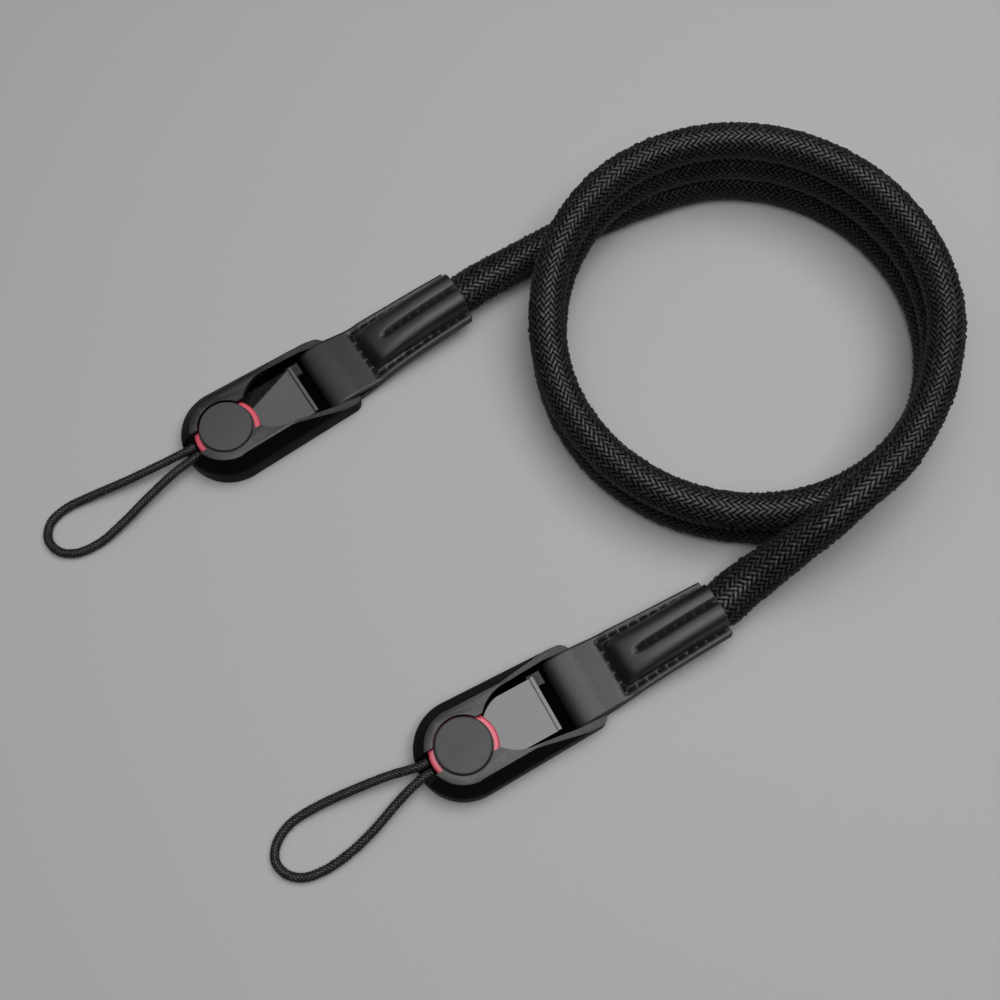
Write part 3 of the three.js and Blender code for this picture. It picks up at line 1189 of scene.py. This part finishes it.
    def edge_ways(self, grid: Array) -> Array:
        """The way out of the strip at each point of its grid, of use along its rim.

        Args:
            grid: The points of the strip.

        Returns:
            A direction for each point, in the order of the grid.
        """
        ways = np.zeros_like(grid)
        ways[:, 0], ways[:, -1] = grid[:, 0] - grid[:, 1], grid[:, -1] - grid[:, -2]
        ways[0, 1:-1], ways[-1, 1:-1] = (grid[0] - grid[1])[1:-1], (grid[-1] - grid[-2])[1:-1]
        size = np.linalg.norm(ways, axis=-1, keepdims=True)
        return (ways / np.maximum(size, TINY)).reshape(-1, 3)

    def mark(self, piece: Piece, plain: Array, rim: Array, rows: int, columns: int) -> None:
        """Marks the leather's creases, for painted shade, and its cut edges, for its material.

        Args:
            piece: The strip's object.
            plain: The grid of its outer surface before it is sewn.
            rim: The point numbers round the strip.
            rows: How many rows the grid has.
            columns: How many columns it has.
        """
        count = rows * columns
        total = len(piece.data.vertices)
        crease_shade, cut = np.zeros(total), np.zeros(total)
        # The seams' pressed depth, for painted shade in the creases.
        crease_shade[:count] = np.clip(self.press(plain[..., 0], plain[..., 1]).ravel(), 0, 1)
        cut[2 * count:] = 1
        cut[rim] = self.rim_cut
        point_values(piece, "crease_shade", crease_shade)
        point_values(piece, "cut", cut)

    def build_stitches(self) -> Piece:
        """Builds every stitch of the tab, on both sides.

        Returns:
            The stitches' object.
        """
        points, faces, lay = [], [], []
        chance = np.random.default_rng(self.seed)
        share = np.linspace(0, 1, self.stitch_parts + 1)
        ring = 2 * math.pi * np.arange(self.stitch_sides) / self.stitch_sides
        covered = self.stitch_gap + (1 - 2 * self.stitch_gap) * share
        arch = self.stitch_rise * np.sin(math.pi * share) ** self.stitch_arch - self.stitch_sink
        for face in Face:
            for seam in self.seams():
                for k in range(seam.count):
                    x, y = seam.point((k + covered) / seam.count)
                    x, y = x + chance.normal(0, self.stray), y + chance.normal(0, self.stray)
                    lifted = self.sewn_height(x, y, face) + seam.thread * arch
                    z = self.along(x, self.middle) + face.value * lifted
                    line = np.stack([x, y, z], axis=1)
                    self.add_thread(points, faces, lay, line, ring, face, seam.thread)
        corners = [place for group in lay for place in group]
        places = self.pose.place(self.rolled(np.vstack(points)))
        piece = mesh_object(f"seam_stitches_{self.pose.name}", places, faces)
        layer = piece.data.uv_layers.new(name="strand")
        layer.data.foreach_set("uv", np.asarray(corners, np.float32).ravel())
        return piece

    def add_thread(self, points: list[Array], faces: list[list[int]], lay: list[list[Pair]],
                   line: Array, ring: Array, face: Face, diameter: float) -> None:
        """Adds one stitch, a short thread that dives at both ends.

        Args:
            points: The points so far, which grow.
            faces: The faces so far, which grow.
            lay: Each face's places along and round the thread, which grow.
            line: The thread's middle.
            ring: The angles round the thread.
            face: The side of the tab.
            diameter: The thread's diameter.
        """
        stations, sides = len(line), len(ring)
        tangent = np.gradient(line, axis=0)
        tangent /= np.linalg.norm(tangent, axis=1)[:, None]
        side = np.cross(tangent, [0, 0, face.value])
        side /= np.linalg.norm(side, axis=1)[:, None]
        up = np.cross(side, tangent)
        taper = np.sin(math.pi * np.linspace(*self.taper_span, stations)) ** self.taper_power
        radius = diameter / 2 * taper[:, None, None]
        skin = line[:, None] + radius * (
            np.cos(ring)[None, :, None] * side[:, None] + np.sin(ring)[None, :, None] * up[:, None])
        base = sum(len(block) for block in points)
        points.append(skin.reshape(-1, 3))
        for row in range(stations - 1):
            for k in range(sides):
                after = (k + 1) % sides
                faces.append([base + row * sides + k, base + row * sides + after,
                              base + (row + 1) * sides + after, base + (row + 1) * sides + k])
                lay.append([(row + r, k + c + row + r) for r, c in ((0, 0), (0, 1), (1, 1), (1, 0))])
        for row, order in ((0, -1), (stations - 1, 1)):
            faces.append([base + row * sides + k for k in range(sides)][::order])
            lay.append([(row, k) for k in range(sides)][::order])

    def strip_length(self) -> float:
        """The flat strip's length, measured along its edge."""
        edge = self.outside(False)[:, 0]
        return float(np.linalg.norm(np.diff(edge, axis=0), axis=1).sum())

    def build(self, leather: Material, thread: Material) -> None:
        """Args:
            leather: The leather's material.
            thread: The stitches' material.
        """
        strip = self.build_leather()
        strip.data.materials.append(leather)
        settle(strip, "leather_black", f"leather_tab_{self.pose.name}")
        stitches = self.build_stitches()
        stitches.data.materials.append(thread)
        settle(stitches, "leather_black")
        flat = (2 * self.half[0] * MM, self.strip_length() * MM)


@dataclass
class QuickClip:
    """The moulded clip, its sprung tongue, and the red anchor with its cap."""

    pose: EndPose
    height: float = 10.0
    nose: float = 13.4
    ear_x: float = 34.8
    ear_y: float = 9.4
    ear_radius: float = 3.0
    least_radius: float = 0.2
    fall_x: float = 16.5
    fall_slope: float = 0.27
    floor: float = 2.0
    lip: float = 7.9
    well: float = 9.9
    hole: float = 8.05
    window_bend: float = 17.1
    window_half: float = 9.2
    window_flare: float = 1.2
    window_radius: float = 11.5
    throat: float = 5.1
    bay_x: float = 29.0
    bay_half: float = 10.3
    slot_half: float = 3.2
    bar_x: float = 33.0
    bar_z: float = 3.2
    bar_size: Pair = (3.2, 2.6)
    bar_corner: float = 1.2
    disc: float = 9.5
    disc_span: Pair = (5.2, 7.6)
    disc_edge: float = 0.8
    disc_chamfer: float = 0.4
    cap: float = 7.5
    cap_top: float = 10.3
    cap_edge: float = 0.35
    cap_crown: float = 0.25
    skirt: float = 7.95
    skirt_span: Pair = (7.65, 8.3)
    skirt_edge: float = 0.2
    tongue_half: float = 8.0
    tongue_end: float = 25.2
    tongue_lip: float = 1.0
    tongue_rise: float = 0.8
    tongue_groove: float = 0.25
    groove_depth: float = 0.4
    tongue_top: float = 4.9
    tongue_thick: float = 1.2
    tongue_bevel: float = 0.22
    foot_length: float = 3.4
    foot_inset: float = 0.1
    foot_gap: float = 0.3
    overlap: float = 0.3
    knuckle_start: float = 23.6
    knuckle_end: float = 27.5
    knuckle_low: float = 2.4
    knuckle_top: float = 4.2
    knuckle_sides: Pair = (5.2, 8.9)
    bevel: float = 0.28
    bevel_parts: int = 3
    bevel_angle: float = 38.0
    flat_angle: float = 0.5
    hollow_low: float = 0.2
    upward: float = 0.9
    nose_parts: int = 72
    bend_parts: int = 20
    ear_parts: int = 12
    corner_parts: int = 6
    past: float = 1.0
    near: float = 0.1
    # How far out the rings of a crowned top are, as shares of its radius.
    crown_rings: tuple[float, ...] = (0.97, 0.9, 0.78, 0.6, 0.4, 0.25)
    # The flank from the floor up: how far the outline is drawn in, and the height.
    flank: tuple[Pair, ...] = (
        (0.45, 0.0), (0.13, 0.13), (0.0, 0.45), (0.0, 5.7), (0.07, 6.05), (0.3, 6.42), (2.5, 9.3),
        (2.78, 9.68), (3.0, 9.88), (3.25, 10.0),
    )

    def outline(self, inset: float) -> Array:
        """The clip's plan outline drawn inwards: a round nose, straight sides and two rounded ears.

        Args:
            inset: How far it is drawn in.

        Returns:
            The outline's points, counter-clockwise from above.
        """
        ear = max(self.ear_radius - inset, self.least_radius)
        arcs = (
            (0, 0, self.nose - inset, 90, 270, self.nose_parts),
            (self.ear_x, -self.ear_y, ear, -90, 0, self.ear_parts),
            (self.ear_x, self.ear_y, ear, 0, 90, self.ear_parts),
        )
        rounds = []
        for x, y, radius, start, end, parts in arcs:
            angle = np.radians(np.linspace(start, end, parts + 1))
            rounds.append(radius * circle(angle) + [x, y])
        return np.vstack(rounds)

    def loft(self, name: str, rings: Sequence[Array]) -> Piece:
        """A closed skin through rings of equally many points.

        Args:
            name: The object's name.
            rings: The rings, from the lowest up, each counter-clockwise seen from above.

        Returns:
            The new object.
        """
        count = len(rings[0])
        top = (len(rings) - 1) * count
        faces = [list(range(count))[::-1]]
        for row in range(0, top, count):
            for k in range(count):
                after = (k + 1) % count
                faces.append([row + k, row + after, row + count + after, row + count + k])
        faces.append(list(range(top, top + count)))
        return mesh_object(name, np.vstack(rings), faces)

    def prism(self, name: str, plan: Array, low: float, high: float) -> Piece:
        """A straight solid on a plan outline."""
        return self.loft(name, [at_height(plan, low), at_height(plan, high)])

    def block(self, x0: float, x1: float, half: float, low: float, high: float) -> Piece:
        """A box across the clip's middle."""
        return self.prism("block", np.array([[x0, -half], [x1, -half], [x1, half], [x0, half]]), low, high)

    def round_angles(self) -> Array:
        """The angles of the points round the anchor's axis."""
        parts = 2 * self.nose_parts
        return 2 * math.pi * np.arange(parts) / parts

    def drum(self, radius: float, low: float, high: float) -> Piece:
        """A round solid on the anchor's axis."""
        return self.prism("drum", radius * circle(self.round_angles()), low, high)

    def combine(self, target: Piece, tools: Sequence[Piece], operation: str) -> None:
        """Cuts tools out of a solid or adds them to it.

        Args:
            target: The solid, which changes.
            tools: The other solids, which are used up.
            operation: DIFFERENCE or UNION.
        """
        for tool in tools:
            step = target.modifiers.new("step", "BOOLEAN")
            step.operation = operation
            step.solver = "EXACT"
            step.object = tool
            view = bpy.context.evaluated_depsgraph_get()
            result = bpy.data.meshes.new_from_object(target.evaluated_get(view))
            target.modifiers.clear()
            target.data = result
            bpy.data.objects.remove(tool)

    def merge_flat(self, piece: Piece) -> tuple[Array, Array]:
        """Merges the flat faces of a solid.

        Args:
            piece: The solid, in the clip's frame.

        Returns:
            The middle of each face, in millimetres, and the way that it faces.
        """
        shape = bmesh.new()
        shape.from_mesh(piece.data)
        bmesh.ops.remove_doubles(shape, verts=shape.verts, dist=TINY)
        limit = math.radians(self.flat_angle)
        bmesh.ops.dissolve_limit(shape, angle_limit=limit, verts=shape.verts, edges=shape.edges)
        shape.to_mesh(piece.data)
        shape.free()
        middles = np.array([face.center for face in piece.data.polygons]) / MM
        return middles, np.array([face.normal for face in piece.data.polygons])

    def paint(self, piece: Piece, coats: Sequence[Material], which: Array) -> None:
        """Gives each face of a solid one of several materials.

        Args:
            piece: The solid.
            coats: The materials.
            which: The number of each face's material.
        """
        piece.data.materials.clear()
        for coat in coats:
            piece.data.materials.append(coat)
        piece.data.polygons.foreach_set("material_index", which.astype(np.int32))

    def put(self, piece: Piece, bevel: float) -> None:
        """Moves a solid from the clip's frame into place and rounds its edges.

        Args:
            piece: The solid.
            bevel: The width of the rounding.
        """
        points = np.empty(3 * len(piece.data.vertices))
        piece.data.vertices.foreach_get("co", points)
        placed = self.pose.place(points.reshape(-1, 3) / MM) * MM
        piece.data.vertices.foreach_set("co", placed.ravel())
        piece.data.shade_smooth()
        piece.data.update()
        rounding = piece.modifiers.new("rounding", "BEVEL")
        rounding.width = bevel * MM
        rounding.segments = self.bevel_parts
        rounding.limit_method = "ANGLE"
        rounding.angle_limit = math.radians(self.bevel_angle)
        rounding.harden_normals = True

    def window_plan(self) -> Array:
        """The window over the tongue: straight sides that bend in to the throat.

        Returns:
            The outline's points, counter-clockwise from above.
        """
        middle = self.window_half - self.window_radius
        turn = math.degrees(math.asin((self.throat - middle) / self.window_radius))
        angle = np.radians(np.linspace(90, 180 - turn, self.bend_parts + 1))
        upper = self.window_radius * circle(angle) + [self.window_bend, middle]
        end, wide = self.bay_x + self.past, self.window_half + self.window_flare
        return np.vstack([[[end, wide]], upper, upper[::-1] * [1, -1], [[end, -wide]]])

    def crosswise(self, name: str, plan: Array, half: float) -> Piece:
        """A straight solid across the clip, on an outline of places along the clip and heights."""
        x, z = plan.T
        return self.loft(name, [np.column_stack([x, np.full(len(x), y), z]) for y in (half, -half)])

    def bar(self) -> Piece:
        """The flat bar between the ears that the leather folds round.

        Returns:
            The bar's object.
        """
        angle = np.radians(np.linspace(0, 90, self.corner_parts + 1))
        corner = self.bar_corner * circle(angle) + np.array(self.bar_size) / 2 - self.bar_corner
        back = corner[::-1]
        plan = np.vstack([corner, back * [-1, 1], -corner, back * [1, -1]])
        return self.crosswise("bar", plan + [self.bar_x, self.bar_z], self.bay_half + self.past)

    def fall(self) -> Piece:
        """What is cut off above the top where it falls away to the ears.

        Returns:
            The cutter's object.
        """
        end, above = self.ear_x + 2 * self.ear_radius, self.height + self.past
        low = self.height - self.fall_slope * (end - self.fall_x)
        plan = np.array([[self.fall_x, self.height], [end, low], [end, above], [self.fall_x, above]])
        return self.crosswise("fall", plan, self.nose + self.past)

    def build_body(self, coats: Sequence[Material]) -> Piece:
        """Builds the clip's moulding.

        Args:
            coats: The materials of its top, its sides, which are a darker copy painted as shade, and its
                hollow, painted black as shade.

        Returns:
            Its object.
        """
        rings = [at_height(self.outline(inset), z) for inset, z in self.flank]
        body = self.loft(f"clip_moulding_{self.pose.name}", rings)
        above, in_lip = self.height + self.past, self.lip - self.past
        cuts = [
            self.drum(self.well, self.floor, self.lip),
            self.block(0, self.bay_x + self.past, self.window_half, self.floor, self.lip),
            self.drum(self.hole, in_lip, above),
            self.block(0, self.window_bend, self.throat, in_lip, above),
            self.prism("window", self.window_plan(), self.floor + self.past, above),
            self.block(-self.nose - self.past, 0, self.slot_half, self.floor, above),
            self.block(self.bay_x, self.ear_x + 2 * self.ear_radius, self.bay_half, -self.past, above),
            self.fall(),
        ]
        self.combine(body, cuts, "DIFFERENCE")
        self.combine(body, [self.bar()], "UNION")
        middles, ways = self.merge_flat(body)
        x, y, z = middles.T
        # Painted shade: faces in the hollow and the bay take black, other faces that don't face up take the
        # darker side copy.
        within = np.hypot(np.minimum(x, 0), y) < self.bay_half + self.near / 2
        hollow_shade = within & (z > self.hollow_low) & (z < self.lip + self.near)
        self.paint(body, coats, np.where(hollow_shade, 2, np.where(ways[:, 2] > self.upward, 0, 1)))
        self.put(body, self.bevel)
        return body

    def build_tongue(self, coats: Sequence[Material]) -> Piece:
        """Builds the sprung tongue: a flat plate with a raised lip at its end.

        Args:
            coats: The materials of its plate and its knuckle.

        Returns:
            Its object.
        """
        angle = np.radians(np.linspace(90, 270, self.nose_parts + 1))
        end, half = self.tongue_end, self.tongue_half
        outline = np.vstack([half * circle(angle), [[end, -half], [end, half]]])
        top, under = self.tongue_top, self.tongue_top - self.tongue_thick
        plate = self.prism(f"tongue_plate_{self.pose.name}", outline, under, top)
        into, lip = under + self.overlap, end - self.tongue_lip
        start, stop = self.knuckle_start, self.knuckle_end
        low, high = self.knuckle_sides
        knuckle = np.array([[start, low], [stop, low], [stop, high], [start, high]])
        added = [
            self.block(lip, end, half, into, top + self.tongue_rise),
            self.block(end - self.foot_length, end, half - self.foot_inset, self.floor + self.foot_gap, into),
            self.prism("knuckle", knuckle, self.knuckle_low, self.knuckle_top),
        ]
        wide, above = half + self.past, top + self.past
        groove = self.block(lip - self.tongue_groove, lip, wide, top - self.groove_depth, above)
        self.combine(plate, added, "UNION")
        self.combine(plate, [groove], "DIFFERENCE")
        middles, _ = self.merge_flat(plate)
        self.paint(plate, coats, middles[:, 0] > end - self.near)
        self.put(plate, self.tongue_bevel)
        return plate

    def turned(self, name: str, profile: Sequence[Pair]) -> Piece:
        """A round piece turned about the anchor's axis.

        Args:
            name: The object's name.
            profile: Radius and height, from the lowest ring up.

        Returns:
            The new object.
        """
        plan = circle(self.round_angles())
        parts = len(plan)
        rings = [at_height(radius * plan, z) for radius, z in profile]
        points = np.vstack([*rings, [[0, 0, profile[0][1]], [0, 0, profile[-1][1]]]])
        first, last = len(points) - 2, len(points) - 1
        top = (len(rings) - 1) * parts
        faces = []
        for k in range(parts):
            after = (k + 1) % parts
            faces += [[first, after, k], [last, top + k, top + after]]
            for row in range(0, top, parts):
                faces.append([row + k, row + after, row + parts + after, row + parts + k])
        return mesh_object(name, self.pose.place(points), faces)

    def rounded(self, radius: float, low: float, high: float, edge: float, crown: float) -> list[Pair]:
        """A disc's profile over its lowest ring, with a rounded edge and a crowned top.

        Args:
            radius: The disc's radius.
            low: Where its side starts.
            high: Its highest point.
            edge: The rounding of its edge.
            crown: How much higher its middle is than its rim.

        Returns:
            Radius and height of each ring.
        """
        rim, inner = high - crown, radius - edge
        profile = [(radius, low)]
        for turn in np.radians(np.linspace(0, 90, self.corner_parts + 1)):
            profile.append((inner + edge * math.cos(turn), rim - edge + edge * math.sin(turn)))
        return profile + [(inner * share, rim + crown * (1 - share * share)) for share in self.crown_rings]

    def build_anchor(self) -> tuple[Piece, Piece]:
        """Builds the red disc and its cap, which stands on a wider skirt.

        Returns:
            The disc's object and the cap's.
        """
        low, high = self.disc_span
        red = [(self.disc - self.disc_chamfer, low)]
        red += self.rounded(self.disc, low + self.disc_chamfer, high, self.disc_edge, crown=0.0)
        foot, ledge = self.skirt_span
        inner = self.skirt - self.skirt_edge
        black = [(self.skirt, foot), (self.skirt, ledge - self.skirt_edge), (inner, ledge)]
        black += self.rounded(self.cap, ledge, self.cap_top, self.cap_edge, self.cap_crown)
        disc = self.turned(f"anchor_red_{self.pose.name}", red)
        return disc, self.turned(f"cap_black_{self.pose.name}", black)

    def build(self, materials: dict[str, Material]) -> None:
        """Builds and dresses the clip's pieces.

        Args:
            materials: The moulded materials by name.
        """
        disc, cap = self.build_anchor()
        disc.data.materials.append(materials["anchor_red"])
        cap.data.materials.append(materials["cap_plastic"])
        # The side and hollow materials paint shade onto the moulding.
        names = ("clip_plastic", "clip_side_shade", "clip_hollow_shade", "clip_pin")
        top, side, hollow_shade, pin = (materials[name] for name in names)
        pieces = (
            (self.build_body([top, side, hollow_shade]), "clip_plastic", "clip_body"),
            (self.build_tongue([materials["tongue_plastic"], pin]), "tongue_plastic", "clip_tongue"),
            (disc, "anchor_red", "anchor_disc"),
            (cap, "cap_plastic", "anchor_cap"),
        )
        for piece, slot, node in pieces:
            settle(piece, slot, f"{node}_{self.pose.name}")


@dataclass
class Studio:
    """The pale floor, the soft lights and the camera. Distances are in metres."""

    target: Point = (-0.00145, -0.0010, 0.0)
    elevation: float = 69.7
    distance: float = 0.3915
    lens: float = 49.5
    sensor: float = 36.0
    nearest: float = 0.01
    floor_size: float = 6.0
    floor_drop: float = 0.00002
    floor_grey: float = 0.5
    floor_roughness: float = 0.8
    floor_gloss: float = 0.2
    box_place: Point = (0.1875, 0.0254, 0.75)
    box_size: Pair = (0.55, 0.9)
    box_turn: float = -37.4
    box_power: float = 5.0
    wing_place: Point = (-0.1305, 0.2684, 0.75)
    wing_size: Pair = (0.25, 0.9)
    wing_power: float = 0.85
    fill_place: Point = (-0.9, 0.4, 0.9)
    fill_size: float = 1.0
    fill_power: float = 0.9
    sky: float = 0.03

    def build_camera(self) -> None:
        """Puts the camera where the photograph was taken from."""
        data = bpy.data.cameras.new("camera")
        data.sensor_width = self.sensor
        data.lens = self.lens
        data.clip_start = self.nearest
        camera = bpy.data.objects.new("camera", data)
        tilt = math.radians(self.elevation)
        x, y, z = self.target
        camera.location = (x, y - self.distance * math.cos(tilt), z + self.distance * math.sin(tilt))
        camera.rotation_euler = (math.pi / 2 - tilt, 0, 0)
        bpy.context.scene.collection.objects.link(camera)
        bpy.context.scene.camera = camera

    def soft_box(self, name: str, place: Point, size: Pair, power: float) -> Piece:
        """A rectangular light that shines down.

        Args:
            name: The light's name.
            place: Where it hangs.
            size: Its width and length.
            power: Its power.

        Returns:
            The light's object.
        """
        data = bpy.data.lights.new(name, "AREA")
        data.shape = "RECTANGLE"
        data.size, data.size_y = size
        data.energy = power
        light = bpy.data.objects.new(name, data)
        light.location = place
        bpy.context.scene.collection.objects.link(light)
        return light

    def build_lights(self) -> None:
        """Hangs the soft boxes and sets the dim surroundings."""
        key = self.soft_box("soft_box", self.box_place, self.box_size, self.box_power)
        wing = self.soft_box("wing", self.wing_place, self.wing_size, self.wing_power)
        for light in (key, wing):
            light.rotation_euler = (0, 0, math.radians(self.box_turn))
        fill = self.soft_box("fill", self.fill_place, (self.fill_size, self.fill_size), self.fill_power)
        aim = fill.location.copy()
        fill.rotation_euler = aim.to_track_quat("Z", "Y").to_euler()
        world = bpy.data.worlds.new("studio")
        world.use_nodes = True
        background = world.node_tree.nodes["Background"]
        background.inputs["Color"].default_value = (self.sky, self.sky, self.sky, 1)
        bpy.context.scene.world = world

    def build_floor(self) -> None:
        """Lays the floor."""
        half = self.floor_size / 2 / MM
        plan = np.array([[-half, -half], [half, -half], [half, half], [-half, half]])
        floor = mesh_object("floor", at_height(plan, -self.floor_drop / MM), [[0, 1, 2, 3]])
        material, _, _ = new_material("floor", {
            "Base Color": (self.floor_grey, self.floor_grey, self.floor_grey, 1),
            "Roughness": self.floor_roughness,
            "Specular IOR Level": self.floor_gloss,
        })
        floor.data.materials.append(material)

    def build(self) -> None:
        """Builds the whole studio, the camera first."""
        self.build_camera()
        self.build_lights()
        self.build_floor()
        bpy.context.scene.view_settings.view_transform = "Standard"


ENDS = {"a": EndPose("a", x=-79.05, y=17.6, yaw=33.3), "b": EndPose("b", x=-10.95, y=-72.6, yaw=28.9)}

# How far each tab is rolled at its mouth, in degrees.
TAB_ROLLS = {"a": 0.0, "b": 7.0}

# The points that each loop's middle runs through, in its clip's frame.
LOOP_POINTS = {
    "a": (
        (-9.9, 1.5, 5.0), (-13.6, 1.6, 5.0), (-21, 2.3, 4.6), (-32, 3.8, 3.5), (-42, 5.7, 2.3),
        (-50, 6.6, 1.6), (-55.4, 5.0, 1.4), (-58.1, 1.0, 1.4), (-57.2, -3.6, 1.4), (-53.2, -6.8, 1.4),
        (-46, -7.8, 1.7), (-37.5, -6.4, 2.7), (-28.5, -4.2, 3.8), (-20, -2.4, 4.7), (-13.6, -1.6, 5.0),
        (-9.9, -1.5, 5.0),
    ),
    "b": (
        (-9.9, 1.5, 5.0), (-13.6, 1.7, 5.0), (-20.5, 3.3, 4.4), (-31.6, 4.9, 3.2), (-42.4, 5.7, 2.1),
        (-49.4, 5.0, 1.5), (-54.2, 2.2, 1.4), (-56.3, -1.6, 1.4), (-55.2, -5.8, 1.4), (-51.4, -8.8, 1.4),
        (-46, -9.7, 1.5), (-38.7, -9.1, 2.1), (-30.3, -7.0, 3.0), (-21.5, -3.8, 4.1), (-13.6, -1.7, 5.0),
        (-9.9, -1.5, 5.0),
    ),
}

ROPE_YARN = BraidFinish("rope_black")
LOOP_YARN = BraidFinish("loop_cord", crown=(0.05, 0.05, 0.052), pale=(0.11, 0.11, 0.115))

CLIP_FINISHES = (
    # Each finish's second colour lies along its outer edges, as wear and a painted highlight.
    MouldedFinish("clip_plastic", (0.008, 0.008, 0.0085), (0.05, 0.05, 0.052), (0.38, 0.42), index=1.56),
    # Painted shade: a darker, duller copy of the clip's plastic for faces that don't face up.
    MouldedFinish("clip_side_shade", (0.002, 0.002, 0.002), (0.03, 0.03, 0.031), (0.5, 0.58), specular=0.06),
    MouldedFinish("clip_pin", (0.02, 0.02, 0.021), (0.06, 0.06, 0.062), (0.4, 0.5), specular=0.3),
    # Painted shade: black for the faces inside the clip's hollow and bay.
    MouldedFinish("clip_hollow_shade", (0.001, 0.001, 0.001), (0.001, 0.001, 0.001), (0.8, 0.9),
                  wear_and_highlight=0.0, specular=0.02),
    MouldedFinish("tongue_plastic", (0.005, 0.005, 0.005), (0.02, 0.02, 0.02), (0.012, 0.018),
                  tooth_depth=0.0, index=1.76),
    MouldedFinish("anchor_red", (0.80, 0.09, 0.145), (0.90, 0.25, 0.30), (0.28, 0.36), wear_and_highlight=0.4, coat=0.3),
    MouldedFinish("cap_plastic", (0.052, 0.052, 0.054), (0.052, 0.052, 0.054), (0.56, 0.62),
                  wear_and_highlight=0.0, index=1.58),
)


def main() -> None:
    """Builds the studio and the strap's pieces in order."""
    logging.basicConfig(level=logging.INFO, format="%(message)s")
    Studio().build()
    EffectGroups().build()
    CoiledRope(ENDS).build(ROPE_YARN)
    loop_yarn = LOOP_YARN.material()
    for name, pose in ENDS.items():
        CordLoop(pose, LOOP_POINTS[name]).build(loop_yarn)
    leather = LeatherFinish("leather_black").material()
    thread = ThreadFinish("thread_black").material()
    moulded = {finish.name: finish.material() for finish in CLIP_FINISHES}
    for name, pose in ENDS.items():
        LeatherTab(pose, TAB_ROLLS[name]).build(leather, thread)
        QuickClip(pose).build(moulded)


if __name__ == "__main__":
    main()
